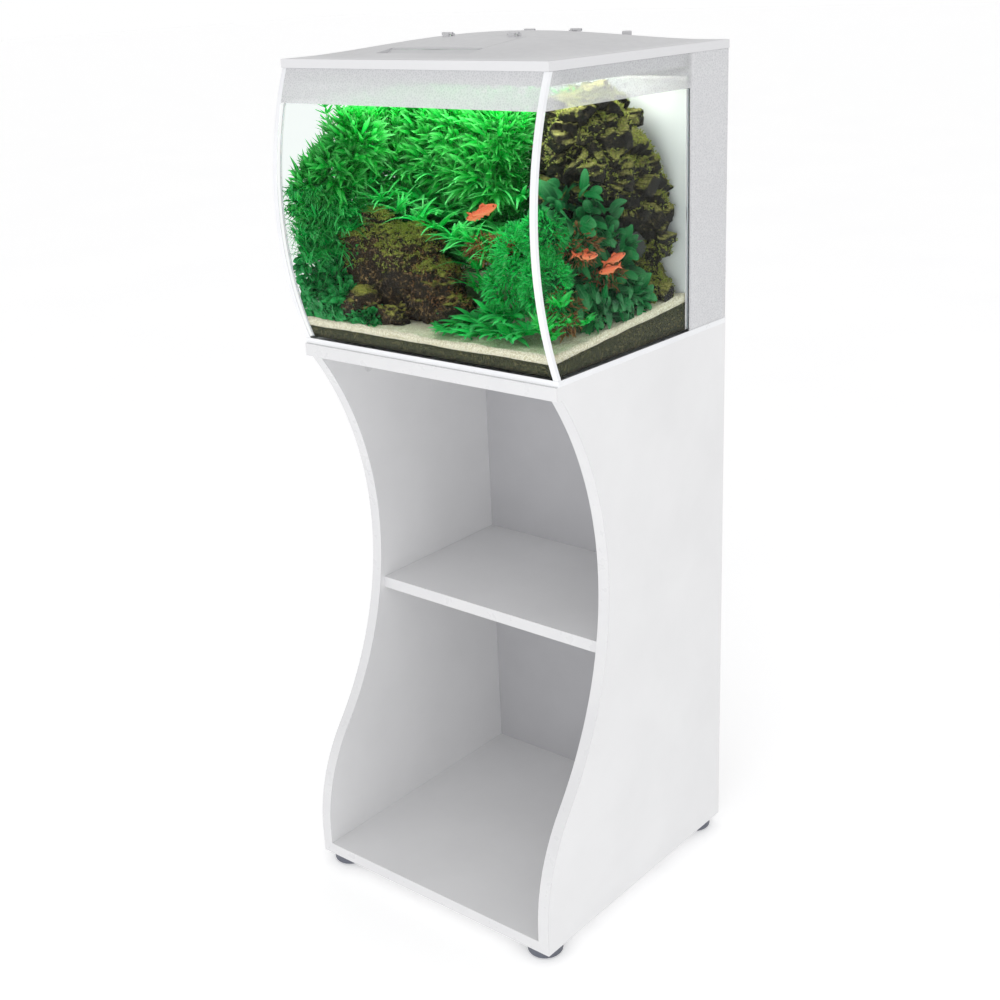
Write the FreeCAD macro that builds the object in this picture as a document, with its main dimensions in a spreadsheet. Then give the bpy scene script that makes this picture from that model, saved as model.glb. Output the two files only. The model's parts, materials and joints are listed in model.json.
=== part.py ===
"""Aquarium on a flat-pack stand, built as separate sub-parts.

Millimetres, +Z up. The origin is on the floor under the middle of the footprint. The front faces -Y
and +X is to the right of someone who looks at the front. Left and right mean -X and +X.
"""
import FreeCAD, Part
import math
import os
import re
from types import SimpleNamespace

import Sketcher
from FreeCAD import Placement, Rotation, Vector

SIZES = {
    # stand
    "stand_width": 400,
    "base_depth": 404,
    "stand_height": 726,
    "board": 16,
    "top_setback": 48,
    "edge_band": 1,
    "waist_depth": 141,
    "waist_height": 450,
    "waist_radius": 440,
    "plinth_rise": 36,
    "low_band_joint": 109,
    "high_band_joint": 480,
    "shelf_height": 374,
    "shelf_setback": 142,
    "back_setback": 377,
    "back_panel_thick": 4,
    "back_groove": 6,
    # feet
    "foot_radius": 23,
    "foot_height": 15,
    "foot_inset": 26,
    # board fasteners
    "dowel_radius": 4,
    "dowel_in_face": 10,
    "dowel_in_edge": 20,
    "cam_radius": 7.5,
    "cam_depth": 12.5,
    "cam_distance": 34,
    "bolt_in_face": 11,
    # glass tank
    "glass": 5,
    "glass_half_width": 199,
    "glass_front_low": -148,
    "glass_front_high": -151,
    "glass_rear": 201,
    "front_bulge": 33,
    "frame_floor": 3,
    "frame_lip": 7,
    "glass_height": 329.5,
    "cap_thick": 2.5,
    "trim_thick": 1,
    "trim_width": 7,
    "wrap_thick": 0.6,
    "wrap_band": 39,
    "filter_front": 117,
    "partition": 3,
    "partition_height": 301,
    # ground and hardscape
    "soil_front": 16,
    "soil_rear": 35,
    "sand_thick": 12,
    # pump and outlets
    "pump_axis_height": 36,
    "chamber_radius": 16,
    "rotor_radius": 8,
    "shaft_radius": 1.2,
    "running_gap": 0.06,
    "pipe_radius": 8,
    "pipe_bore": 6,
    "nozzle_spacing": 90,
    "nozzle_height": 271,
    "ball_radius": 10,
    # lid
    "lid_half_width": 200.5,
    "lid_front": -152.5,
    "lid_rear": 202,
    "lid_rim": 10,
    "lid_crown": 20,
    "lid_wall": 2.4,
    "hinge_pin_radius": 1,
    "hinge_knuckle_radius": 1.8,
}

doc = FreeCAD.newDocument("AquariumOnStand")
sheet = doc.addObject("Spreadsheet::Sheet", "Sizes")
for row, (alias, value) in enumerate(SIZES.items(), start=1):
    sheet.set(f"A{row}", alias)
    sheet.set(f"B{row}", str(value))
    sheet.setAlias(f"B{row}", alias)
doc.recompute()
size = SimpleNamespace(**{alias: float(sheet.get(alias)) for alias in SIZES})

# ---------------------------------------------------------------- levels used by many sub-parts

STAND_FLOOR = "foot_height"
PANEL_LOW = "(foot_height + board)"
PANEL_HIGH = "(foot_height + stand_height - board)"
STAND_TOP = "(foot_height + stand_height)"
STAND_FRONT = "(-base_depth / 2)"
STAND_REAR = "(base_depth / 2)"
BACK_FRONT = "(back_setback - base_depth / 2)"
SHELF_TOP = "(foot_height + shelf_height)"
SHELF_FRONT = "(shelf_setback - base_depth / 2)"

stand_top = size.foot_height + size.stand_height
glass_low = stand_top + size.frame_floor
glass_high = glass_low + size.glass_height
tank_floor = glass_low + size.glass
lid_base = glass_high + size.cap_thick
side_inner = size.glass_half_width - size.glass
rear_inner = size.glass_rear - size.glass

# ---------------------------------------------------------------- helpers


def bound(text):
    """Expression text in which every alias is read from the sheet."""
    return re.sub(r"[a-z]\w*", lambda word: f"Sizes.{word[0]}" if word[0] in SIZES else word[0], str(text))


def place(thing, x, y, z):
    """Bind where a document object stands."""
    for axis, text in zip("xyz", (x, y, z)):
        thing.setExpression(f"Placement.Base.{axis}", bound(text))


def block(name, x, y, z):
    """A box between two limits on each axis, each limit a number or an expression."""
    thing = doc.addObject("Part::Box", name)
    for prop, (low, high) in zip(("Length", "Width", "Height"), (x, y, z)):
        thing.setExpression(prop, f"({bound(high)}) - ({bound(low)})")
    place(thing, x[0], y[0], z[0])
    return thing


TURN_TO = {"X": Rotation(Vector(0, 1, 0), 90), "Y": Rotation(Vector(1, 0, 0), -90), "Z": Rotation()}


def rod(name, axis, start, radius, length, tip_radius=None):
    """A cylinder, or a cone if it has a tip radius, that runs from start along +axis."""
    thing = doc.addObject("Part::Cylinder" if tip_radius is None else "Part::Cone", name)
    if tip_radius is None:
        thing.setExpression("Radius", bound(radius))
    else:
        thing.setExpression("Radius1", bound(radius))
        thing.setExpression("Radius2", bound(tip_radius))
    thing.setExpression("Height", bound(length))
    thing.Placement = Placement(Vector(), TURN_TO[axis])
    place(thing, *start)
    return thing


def fuse(name, *pieces):
    thing = doc.addObject("Part::MultiFuse", name)
    thing.Shapes = list(pieces)
    return thing


def group(name, pieces):
    """Separate solids kept together, such as identical fasteners."""
    thing = doc.addObject("Part::Compound", name)
    thing.Links = list(pieces)
    return thing


def cut(name, base, *tools):
    thing = doc.addObject("Part::Cut", name)
    thing.Base = base
    thing.Tool = tools[0] if len(tools) == 1 else fuse(name + "_tools", *tools)
    return thing


def solid(name, shape):
    """A sub-part whose shape is made with Part's own functions."""
    thing = doc.addObject("Part::Feature", name)
    thing.Shape = shape
    return thing


def box_shape(x, y, z):
    return Part.makeBox(x[1] - x[0], y[1] - y[0], z[1] - z[0], Vector(x[0], y[0], z[0]))


def rounded_box(x, y, z, radius):
    shape = box_shape(x, y, z)
    return shape.makeFillet(radius, shape.Edges)


# ---------------------------------------------------------------- stand: boards


def side_panel_blank(name, x_low):
    """Upright panel: the S-curved front is a short upright, a convex arc and a long concave arc."""
    body = doc.addObject("PartDesign::Body", name)
    sketch = body.newObject("Sketcher::SketchObject", name + "_outline")
    plane = [f for f in body.Origin.OriginFeatures if f.Role == "YZ_Plane"][0]
    sketch.AttachmentSupport = [(plane, "")]
    sketch.MapMode = "FlatFace"

    depth = size.base_depth - size.edge_band
    height = size.stand_height - 2 * size.board
    waist_radius = size.waist_radius + size.edge_band
    waist_y = size.waist_depth - size.waist_radius - size.edge_band
    waist_z = size.waist_height - size.board
    turn = 2 * math.atan(size.waist_depth / (size.waist_height - size.plinth_rise))
    both_radii = (size.waist_height - size.plinth_rise) / math.sin(turn)
    knee_radius = both_radii - size.waist_radius - size.edge_band
    knee_z = size.plinth_rise - size.board
    top_angle = math.asin((height - waist_z) / waist_radius)
    top_y = waist_y + waist_radius * math.cos(top_angle)

    flat = Vector(0, 0, 1)
    corner = [Vector(0, 0), Vector(depth, 0), Vector(depth, height), Vector(top_y, height)]
    waist = Part.Circle(Vector(waist_y, waist_z), flat, waist_radius)
    knee = Part.Circle(Vector(knee_radius, knee_z), flat, knee_radius)
    sketch.addGeometry(
        [
            Part.LineSegment(corner[0], corner[1]),
            Part.LineSegment(corner[1], corner[2]),
            Part.LineSegment(corner[2], corner[3]),
            Part.ArcOfCircle(waist, -turn, top_angle),
            Part.ArcOfCircle(knee, math.pi - turn, math.pi),
            Part.LineSegment(Vector(0, knee_z), corner[0]),
        ],
        False,
    )
    bottom, rear, top, concave, convex, upright = range(6)
    start, end, centre = 1, 2, 3
    origin = (-1, 1)
    limit = Sketcher.Constraint
    sketch.addConstraint(
        [
            limit("Coincident", bottom, start, *origin),
            limit("Coincident", bottom, end, rear, start),
            limit("Coincident", rear, end, top, start),
            limit("Coincident", top, end, concave, end),
            limit("Tangent", concave, start, convex, start),
            limit("Tangent", convex, end, upright, start),
            limit("Coincident", upright, end, bottom, start),
            limit("Horizontal", bottom),
            limit("Vertical", rear),
            limit("Horizontal", top),
            limit("Vertical", upright),
        ]
    )
    driven = (
        (limit("DistanceX", bottom, start, bottom, end, depth), "base_depth - edge_band"),
        (limit("DistanceY", rear, start, rear, end, height), "stand_height - 2 * board"),
        (limit("Radius", concave, waist_radius), "waist_radius + edge_band"),
        (limit("DistanceX", concave, centre, *origin, -waist_y), "waist_radius + edge_band - waist_depth"),
        (limit("DistanceY", *origin, concave, centre, waist_z), "waist_height - board"),
        (limit("DistanceY", *origin, upright, start, knee_z), "plinth_rise - board"),
    )
    for constraint, text in driven:
        index = sketch.addConstraint(constraint)
        sketch.setExpression(f"Constraints[{index}]", bound(text))

    pad = body.newObject("PartDesign::Pad", name + "_pad")
    pad.Profile = sketch
    pad.setExpression("Length", bound("board"))
    place(body, x_low, STAND_FRONT + " + edge_band", PANEL_LOW)
    return body


def curve_strip(x_low, z_low, z_high):
    """Length of edge band on the curved front of a side panel, between two heights."""
    front = -size.base_depth / 2
    turn = 2 * math.atan(size.waist_depth / (size.waist_height - size.plinth_rise))
    knee_radius = (size.waist_height - size.plinth_rise) / math.sin(turn) - size.waist_radius
    waist = Vector(0, front + size.waist_depth - size.waist_radius, size.foot_height + size.waist_height)
    knee = Vector(0, front + knee_radius, size.foot_height + size.plinth_rise)

    def joint_z(outward):
        """Height where the concave arc meets the convex one."""
        return waist.z - (size.waist_radius + size.edge_band - outward) * math.sin(turn)

    def edge_point(outward, z):
        """Point on the curve, moved outward from the panel's own edge."""
        if z <= knee.z:
            return Vector(0, front + size.edge_band - outward, z)
        if z <= joint_z(outward):
            reach = knee_radius - size.edge_band + outward
            return Vector(0, knee.y - math.sqrt(reach**2 - (z - knee.z) ** 2), z)
        reach = size.waist_radius + size.edge_band - outward
        return Vector(0, waist.y + math.sqrt(reach**2 - (z - waist.z) ** 2), z)

    def side(outward):
        stops = [z_low] + [z for z in (knee.z, joint_z(outward)) if z_low < z < z_high] + [z_high]
        edges = []
        for low, high in zip(stops, stops[1:]):
            first, last = edge_point(outward, low), edge_point(outward, high)
            if high <= knee.z:
                edges.append(Part.LineSegment(first, last).toShape())
            else:
                middle = edge_point(outward, (low + high) / 2)
                edges.append(Part.Arc(first, middle, last).toShape())
        return edges

    inner, outer = side(0), side(size.edge_band)
    ends = [
        Part.LineSegment(edge_point(0, z), edge_point(size.edge_band, z)).toShape() for z in (z_low, z_high)
    ]
    face = Part.Face(Part.Wire(Part.__sortEdges__(inner + outer + ends)))
    strip = face.extrude(Vector(size.board, 0, 0))
    strip.translate(Vector(x_low, 0, 0))
    return strip


SIDES = (("left", -1), ("right", 1))
SIGNS = (-1, 1)
TOP_DOWELS_Y = (-90, 120)
BASE_DOWELS_Y = (-150, 120)
SHELF_DOWELS_Y = (-30, 140)
TOP_CAMS_Y = (-60, 90)
SHELF_CAMS_Y = (-10, 105)
BASE_SCREWS_Y = (-100, 60)
EDGE_X = "(stand_width / 2 - board / 2)"
INNER_X = "(stand_width / 2 - board)"
SHELF_MID = SHELF_TOP + " - board / 2"
CAP_THICK = 1


def along_x(name, sign, x_near, radius, length, y, z, tip_radius=None):
    """A rod from x_near away from the middle of the object, on the side that sign names."""
    x_start = x_near if sign > 0 else f"-({x_near}) - ({length})"
    radii = (radius, tip_radius)
    if sign < 0 and tip_radius is not None:
        radii = (tip_radius, radius)
    return rod(name, "X", (x_start, y, z), radii[0], length, radii[1])


def dowel_rods(tag):
    """The dowels, and with another tag the holes that they fill."""
    whole = "dowel_in_face + dowel_in_edge"
    rods = []
    for sign in SIGNS:
        x = f"{sign} * {EDGE_X}"
        for y in TOP_DOWELS_Y:
            start = (x, y, PANEL_HIGH + " - dowel_in_edge")
            rods.append(rod(f"{tag}_top", "Z", start, "dowel_radius", whole))
        for y in BASE_DOWELS_Y:
            start = (x, y, PANEL_LOW + " - dowel_in_face")
            rods.append(rod(f"{tag}_base", "Z", start, "dowel_radius", whole))
        for y in SHELF_DOWELS_Y:
            near = INNER_X + " - dowel_in_edge"
            rods.append(along_x(f"{tag}_shelf", sign, near, "dowel_radius", whole, y, SHELF_MID))
    return rods


def top_cam(tag, sign, y, radius, length, inset):
    """A round in the side panel's inner face, on the top board's bolt line."""
    near = f"{INNER_X} + {inset}"
    return along_x(tag, sign, near, radius, length, y, PANEL_HIGH + " - cam_distance")


def shelf_cam(tag, sign, y, radius, length):
    """A round in the shelf's underside, on the shelf's bolt line."""
    x = f"{sign} * ({INNER_X} - cam_distance)"
    return rod(tag, "Z", (x, y, SHELF_TOP + " - board"), radius, length)


BOLT_SHANK = 2.5
BOLT_THREAD = 3
BOLT_HEAD = 3.5
BOLT_HEAD_LENGTH = 5
BOLT_BORE = 3.8


def cam_bolt(sign, y, place_name):
    """Threaded end in the face of one board, shank through the edge of the other, head in the cam."""
    name = f"bolt_{place_name}"
    reach = f"cam_distance + {BOLT_HEAD_LENGTH / 2}"
    if place_name == "top":
        x = f"{sign} * {EDGE_X}"
        low = PANEL_HIGH + f" - ({reach})"
        return fuse(
            name,
            rod(name + "_thread", "Z", (x, y, PANEL_HIGH), BOLT_THREAD, "bolt_in_face"),
            rod(name + "_shank", "Z", (x, y, low), BOLT_SHANK, reach),
            rod(name + "_head", "Z", (x, y, low), BOLT_HEAD, BOLT_HEAD_LENGTH),
        )
    near = f"{INNER_X} - ({reach})"
    return fuse(
        name,
        along_x(name + "_thread", sign, INNER_X, BOLT_THREAD, "bolt_in_face", y, SHELF_MID),
        along_x(name + "_shank", sign, near, BOLT_SHANK, reach, y, SHELF_MID),
        along_x(name + "_head", sign, near, BOLT_HEAD, BOLT_HEAD_LENGTH, y, SHELF_MID),
    )


def bolt_bores(place_name, part):
    """Holes for the cam bolts: the threaded stretch in a face, or the loose stretch in an edge."""
    rods = []
    reach = f"cam_distance + {BOLT_HEAD_LENGTH}"
    for sign in SIGNS:
        for y in TOP_CAMS_Y if place_name == "top" else SHELF_CAMS_Y:
            x = f"{sign} * {EDGE_X}"
            name = f"bore_{place_name}"
            if place_name == "top" and part == "face":
                rods.append(rod(name, "Z", (x, y, PANEL_HIGH), BOLT_THREAD, "bolt_in_face"))
            elif place_name == "top":
                rods.append(rod(name, "Z", (x, y, PANEL_HIGH + f" - ({reach})"), BOLT_BORE, reach))
            elif part == "face":
                rods.append(along_x(name, sign, INNER_X, BOLT_THREAD, "bolt_in_face", y, SHELF_MID))
            else:
                near = f"{INNER_X} - ({reach})"
                rods.append(along_x(name, sign, near, BOLT_BORE, reach, y, SHELF_MID))
    return rods


SCREW_HEAD = 5
SCREW_SHANK = 2.5
SCREW_LENGTH = 50
SCREW_HEAD_DEPTH = 4


def base_screw(tag, sign, y):
    """Countersunk screw through the bottom board into a side panel's lower edge."""
    x = f"{sign} * {EDGE_X}"
    return fuse(
        tag,
        rod(tag + "_head", "Z", (x, y, STAND_FLOOR), SCREW_HEAD, SCREW_HEAD_DEPTH, SCREW_SHANK),
        rod(tag + "_shank", "Z", (x, y, STAND_FLOOR), SCREW_SHANK, SCREW_LENGTH),
    )


def foot_centres():
    x = "(stand_width / 2 - foot_inset)"
    y = "(base_depth / 2 - foot_inset)"
    return {
        "foot_front_left": ("-" + x, "-" + y),
        "foot_front_right": (x, "-" + y),
        "foot_rear_left": ("-" + x, y),
        "foot_rear_right": (x, y),
    }


FOOT_SCREW_SHANK = 2
FOOT_SCREW_HEAD = 4.5
FOOT_SCREW_IN_BOARD = 9
FOOT_RECESS = 8
FOOT_RECESS_RADIUS = 6


def foot_screw(tag, x, y):
    return fuse(
        tag,
        rod(tag + "_head", "Z", (x, y, FOOT_RECESS - 3), FOOT_SCREW_HEAD, 3),
        rod(tag + "_shank", "Z", (x, y, FOOT_RECESS), FOOT_SCREW_SHANK,
            f"foot_height - {FOOT_RECESS} + {FOOT_SCREW_IN_BOARD}"),
    )


def foot(name, x, y):
    """Round glide: a turned disc with a rounded lower edge and a recess for its screw."""
    radius, height = size.foot_radius, size.foot_height
    edge_radius = 4.5
    body = doc.addObject("PartDesign::Body", name + "_turned")
    sketch = body.newObject("Sketcher::SketchObject", name + "_outline")
    plane = [f for f in body.Origin.OriginFeatures if f.Role == "XZ_Plane"][0]
    sketch.AttachmentSupport = [(plane, "")]
    sketch.MapMode = "FlatFace"
    centre = Vector(radius - edge_radius, edge_radius)
    sketch.addGeometry(
        [
            Part.LineSegment(Vector(0, 0), Vector(radius - edge_radius, 0)),
            Part.ArcOfCircle(Part.Circle(centre, Vector(0, 0, 1), edge_radius), -math.pi / 2, 0),
            Part.LineSegment(Vector(radius, edge_radius), Vector(radius, height)),
            Part.LineSegment(Vector(radius, height), Vector(0, height)),
            Part.LineSegment(Vector(0, height), Vector(0, 0)),
        ],
        False,
    )
    limit = Sketcher.Constraint
    sketch.addConstraint(
        [
            limit("Coincident", 0, 1, -1, 1),
            limit("Tangent", 0, 2, 1, 1),
            limit("Tangent", 1, 2, 2, 1),
            limit("Coincident", 2, 2, 3, 1),
            limit("Coincident", 3, 2, 4, 1),
            limit("Coincident", 4, 2, 0, 1),
            limit("Horizontal", 0),
            limit("Vertical", 2),
            limit("Horizontal", 3),
            limit("Vertical", 4),
            limit("Radius", 1, edge_radius),
        ]
    )
    for constraint, text in (
        (limit("DistanceX", 3, 2, 3, 1, radius), "foot_radius"),
        (limit("DistanceY", 4, 2, 4, 1, height), "foot_height"),
    ):
        index = sketch.addConstraint(constraint)
        sketch.setExpression(f"Constraints[{index}]", bound(text))
    turned = body.newObject("PartDesign::Revolution", name + "_revolution")
    turned.Profile = sketch
    turned.ReferenceAxis = (sketch, ["V_Axis"])
    turned.Angle = 360
    place(body, x, y, 0)
    return cut(
        name,
        body,
        rod(name + "_recess", "Z", (x, y, -1), FOOT_RECESS_RADIUS, FOOT_RECESS + 1),
        rod(name + "_hole", "Z", (x, y, 0), FOOT_SCREW_SHANK, "foot_height"),
    )


def stand():
    half = "stand_width / 2"
    wide = ("-" + half, half)
    between = ("-" + INNER_X, INNER_X)
    groove_y = (BACK_FRONT, BACK_FRONT + " + back_panel_thick")
    groove_x = (f"-{INNER_X} - back_groove", f"{INNER_X} + back_groove")
    holes = dowel_rods("dowel_hole")
    centres = foot_centres()

    block_y = (STAND_FRONT + " + edge_band", STAND_REAR)
    bottom = block("bottom_blank", wide, block_y, (STAND_FLOOR, PANEL_LOW))
    screws = [base_screw("screw_hole", sign, y) for sign in SIGNS for y in BASE_SCREWS_Y]
    foot_holes = [
        rod("foot_screw_hole", "Z", (x, y, "foot_height"), FOOT_SCREW_SHANK, FOOT_SCREW_IN_BOARD)
        for x, y in centres.values()
    ]
    cut("bottom_board", bottom, *holes, *screws, *foot_holes,
        block("bottom_groove", groove_x, groove_y, (PANEL_LOW + " - back_groove", PANEL_LOW)))

    top_y = (STAND_FRONT + " + top_setback + edge_band", STAND_REAR)
    top = block("top_blank", wide, top_y, (PANEL_HIGH, STAND_TOP))
    cut("top_board", top, *dowel_rods("top_hole"), *bolt_bores("top", "face"),
        block("top_groove", groove_x, groove_y, (PANEL_HIGH, PANEL_HIGH + " + back_groove")))

    shelf_y = (SHELF_FRONT + " + edge_band", BACK_FRONT)
    shelf = block("shelf_blank", between, shelf_y, (SHELF_TOP + " - board", SHELF_TOP))
    cams = [shelf_cam("shelf_cam_hole", sign, y, "cam_radius", "cam_depth")
            for sign in SIGNS for y in SHELF_CAMS_Y]
    cut("middle_shelf", shelf, *dowel_rods("shelf_hole"), *bolt_bores("shelf", "edge"), *cams)

    for side, sign in SIDES:
        x_low = f"-{half}" if sign < 0 else INNER_X
        blank = side_panel_blank(f"side_{side}_blank", x_low)
        cams = [top_cam("top_cam_hole", sign, y, "cam_radius", f"cam_depth + {CAP_THICK}", 0)
                for y in TOP_CAMS_Y]
        side_screws = [base_screw("side_screw_hole", sign, y) for y in BASE_SCREWS_Y]
        cut(f"side_panel_{side}", blank, *dowel_rods("side_hole"), *bolt_bores("top", "edge"),
            *bolt_bores("shelf", "face"), *cams, *side_screws,
            block("side_groove", groove_x, groove_y, (PANEL_LOW, PANEL_HIGH)))

    block("back_panel", groove_x, groove_y,
          (PANEL_LOW + " - back_groove", PANEL_HIGH + " + back_groove"))

    joints = [size.board, size.low_band_joint, size.high_band_joint, size.stand_height - size.board]
    for name, low, high in zip(("lower", "middle", "upper"), joints, joints[1:]):
        strips = [
            curve_strip(x, size.foot_height + low, size.foot_height + high)
            for x in (-size.stand_width / 2, size.stand_width / 2 - size.board)
        ]
        solid(f"edge_bands_{name}", Part.makeCompound(strips))

    def front_strip(name, x, front, z):
        return block(name, x, (front, front + " + edge_band"), z)

    group("board_edge_bands", [
        front_strip("band_bottom", wide, STAND_FRONT, (STAND_FLOOR, PANEL_LOW)),
        front_strip("band_shelf", between, SHELF_FRONT, (SHELF_TOP + " - board", SHELF_TOP)),
        front_strip("band_top", wide, STAND_FRONT + " + top_setback", (PANEL_HIGH, STAND_TOP)),
    ])

    group("wood_dowels", dowel_rods("dowel"))
    group("base_screws", [base_screw("base_screw", sign, y) for sign in SIGNS for y in BASE_SCREWS_Y])
    group("cam_bolts", [cam_bolt(sign, y, "top") for sign in SIGNS for y in TOP_CAMS_Y]
          + [cam_bolt(sign, y, "shelf") for sign in SIGNS for y in SHELF_CAMS_Y])

    locks = []
    for sign in SIGNS:
        for y in TOP_CAMS_Y:
            round_bar = top_cam("lock_top", sign, y, "cam_radius", "cam_depth", CAP_THICK)
            slot = rod("lock_slot", "Z",
                       (f"{sign} * {EDGE_X}", y, PANEL_HIGH + f" - cam_distance - {BOLT_HEAD_LENGTH}"),
                       BOLT_BORE, "2 * cam_radius")
            locks.append(cut("cam_lock_top", round_bar, slot))
        for y in SHELF_CAMS_Y:
            round_bar = shelf_cam("lock_shelf", sign, y, "cam_radius", "cam_depth")
            near = f"{INNER_X} - cam_distance - {BOLT_HEAD_LENGTH}"
            slot = along_x("lock_slot", sign, near, BOLT_BORE, "2 * cam_radius", y, SHELF_MID)
            locks.append(cut("cam_lock_shelf", round_bar, slot))
    group("cam_locks", locks)
    group("cam_caps", [top_cam("cam_cap", sign, y, "cam_radius", CAP_THICK, 0)
                       for sign in SIGNS for y in TOP_CAMS_Y])

    for name, (x, y) in centres.items():
        foot(name, x, y)
    group("foot_screws", [foot_screw("foot_screw", x, y) for x, y in centres.values()])


# ---------------------------------------------------------------- tank: the bowed front


def bow_circle():
    """Circle of the front glass's outer face, seen from the side: centre y, centre z, radius."""
    low = Vector(0, size.glass_front_low, glass_low)
    high = Vector(0, size.glass_front_high, glass_high)
    chord = high - low
    radius = ((chord.Length / 2) ** 2 + size.front_bulge**2) / (2 * size.front_bulge)
    rearward = Vector(0, chord.z, -chord.y).normalize()
    centre = (low + high) * 0.5 + rearward * (radius - size.front_bulge)
    return centre.y, centre.z, radius


BOW_Y, BOW_Z, BOW_RADIUS = bow_circle()


def bow_point(inset, z):
    """Point on the bowed front at height z, inset behind the glass's outer face."""
    reach = BOW_RADIUS - inset
    return Vector(0, BOW_Y - math.sqrt(reach**2 - (z - BOW_Z) ** 2), z)


def bow_arc(inset, z_low, z_high):
    middle = bow_point(inset, (z_low + z_high) / 2)
    return Part.Arc(bow_point(inset, z_low), middle, bow_point(inset, z_high)).toShape()


def prism(edges, x):
    """Solid between two x values, from the edges of a closed outline in the YZ plane."""
    face = Part.Face(Part.Wire(Part.__sortEdges__(edges)))
    shape = face.extrude(Vector(x[1] - x[0], 0, 0))
    shape.translate(Vector(x[0], 0, 0))
    return shape


def polyline(points):
    return [Part.LineSegment(a, b).toShape() for a, b in zip(points, points[1:])]


def behind_bow(inset, z, y_rear, x):
    """Solid from the bowed front to a flat rear."""
    outline = [
        bow_point(inset, z[1]), Vector(0, y_rear, z[1]), Vector(0, y_rear, z[0]), bow_point(inset, z[0]),
    ]
    return prism([bow_arc(inset, *z)] + polyline(outline), x)


def bow_sheet(outer, inner, z, x):
    """Sheet that follows the bowed front, between two insets."""
    ends = [Part.LineSegment(bow_point(outer, end), bow_point(inner, end)).toShape() for end in z]
    return prism([bow_arc(outer, *z), bow_arc(inner, *z)] + ends, x)


def ground_layer(low, high, x):
    """Layer of ground that fills the tank up to the partition. low and high are (front z, rear z)."""
    gap = 0.2
    inset = size.glass + gap
    rear = size.filter_front - gap
    outline = [
        bow_point(inset, high[0]),
        Vector(0, rear, high[1]),
        Vector(0, rear, low[1]),
        bow_point(inset, low[0]),
    ]
    return prism([bow_arc(inset, low[0], high[0])] + polyline(outline), x)


def boulder(levels):
    """Faceted stone or clump from outlines at rising heights, each the same number of points."""
    wires = []
    for z, points in levels:
        corners = [Vector(x, y, z) for x, y in points]
        wires.append(Part.makePolygon(corners + corners[:1]))
    return Part.makeLoft(wires, True, True)


def tank():
    wide = (-size.glass_half_width, size.glass_half_width)
    between = (-side_inner, side_inner)
    upright = (glass_low, glass_high)
    lip_top = stand_top + size.frame_lip
    skin_top = lid_base - 0.2

    envelope = behind_bow(0, upright, size.glass_rear, wide)
    ledge = 24
    window = box_shape((-side_inner + ledge, side_inner - ledge),
                       (size.glass_front_low + 2 * ledge, rear_inner - ledge),
                       (stand_top, lip_top))
    frame_front = size.glass_front_low - size.frame_floor
    frame = box_shape((-size.lid_half_width, size.lid_half_width), (frame_front, size.lid_rear),
                      (stand_top, lip_top))
    solid("base_frame", frame.cut(envelope).cut(window))

    solid("glass_front", bow_sheet(0, size.glass, upright, wide))
    for side, sign in SIDES:
        x = sorted((sign * size.glass_half_width, sign * side_inner))
        solid(f"glass_{side}", behind_bow(size.glass, upright, rear_inner, x))
    solid("glass_rear", box_shape(wide, (rear_inner, size.glass_rear), upright))
    solid("glass_bottom", behind_bow(size.glass, (glass_low, tank_floor), rear_inner, between))

    trim_leg = 4.5
    for side, sign in SIDES:
        outer_x = sign * (size.glass_half_width + size.trim_thick)
        front_leg = bow_sheet(-size.trim_thick, 0, (lip_top, skin_top),
                              sorted((outer_x, outer_x - sign * size.trim_width)))
        side_leg = bow_sheet(-size.trim_thick, trim_leg, (lip_top, skin_top),
                             sorted((outer_x, sign * size.glass_half_width)))
        solid(f"corner_trim_{side}", front_leg.fuse(side_leg).removeSplitter())

    cap = behind_bow(0, (glass_high, lid_base), size.glass_rear, wide)
    rim = 15
    skirt_gap = 0.3
    skirt_wall = 2
    skirt_z = (glass_high - 13, glass_high)
    skirt_x = side_inner - skirt_gap
    skirt_y = (size.glass_front_high + 7, rear_inner - skirt_gap)
    skirt = box_shape((-skirt_x, skirt_x), skirt_y, skirt_z)
    hollow = box_shape((-skirt_x + skirt_wall, skirt_x - skirt_wall),
                       (skirt_y[0] + skirt_wall, skirt_y[1] - skirt_wall), skirt_z)
    hole = box_shape((-size.glass_half_width + rim, size.glass_half_width - rim),
                     (size.glass_front_high + rim, size.glass_rear - rim), (glass_high, lid_base))
    solid("top_frame", cap.fuse(skirt.cut(hollow)).cut(hole).removeSplitter())

    band_low = lid_base - size.wrap_band
    clear_of_trim = size.glass_half_width + size.trim_thick - size.trim_width
    wrap_x = (-clear_of_trim, clear_of_trim)
    solid("wrap_front", bow_sheet(-size.wrap_thick, 0, (band_low, skin_top), wrap_x))
    for side, sign in SIDES:
        x = sorted((sign * size.glass_half_width, sign * (size.glass_half_width + size.wrap_thick)))
        band = behind_bow(trim_leg, (band_low, skin_top), size.glass_rear, x)
        column = box_shape(x, (size.filter_front, size.glass_rear), (lip_top, band_low))
        solid(f"wrap_{side}", band.fuse(column).removeSplitter())
    over_wraps = size.glass_half_width + size.wrap_thick
    solid("wrap_rear", box_shape((-over_wraps, over_wraps),
                                 (size.glass_rear, size.glass_rear + size.wrap_thick), (lip_top, skin_top)))


# ---------------------------------------------------------------- filter: partition, media, pump, outlets

NOZZLE_BORE = 9
nozzle_z = stand_top + size.nozzle_height
pump_z = tank_floor + size.pump_axis_height
filter_rear_of_wall = size.filter_front + size.partition


def rod_shape(radius, start, axis, length):
    return Part.makeCylinder(radius, length, Vector(*start), axis)


REARWARD = Vector(0, 1, 0)
RIGHTWARD = Vector(1, 0, 0)
UPWARD = Vector(0, 0, 1)


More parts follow.
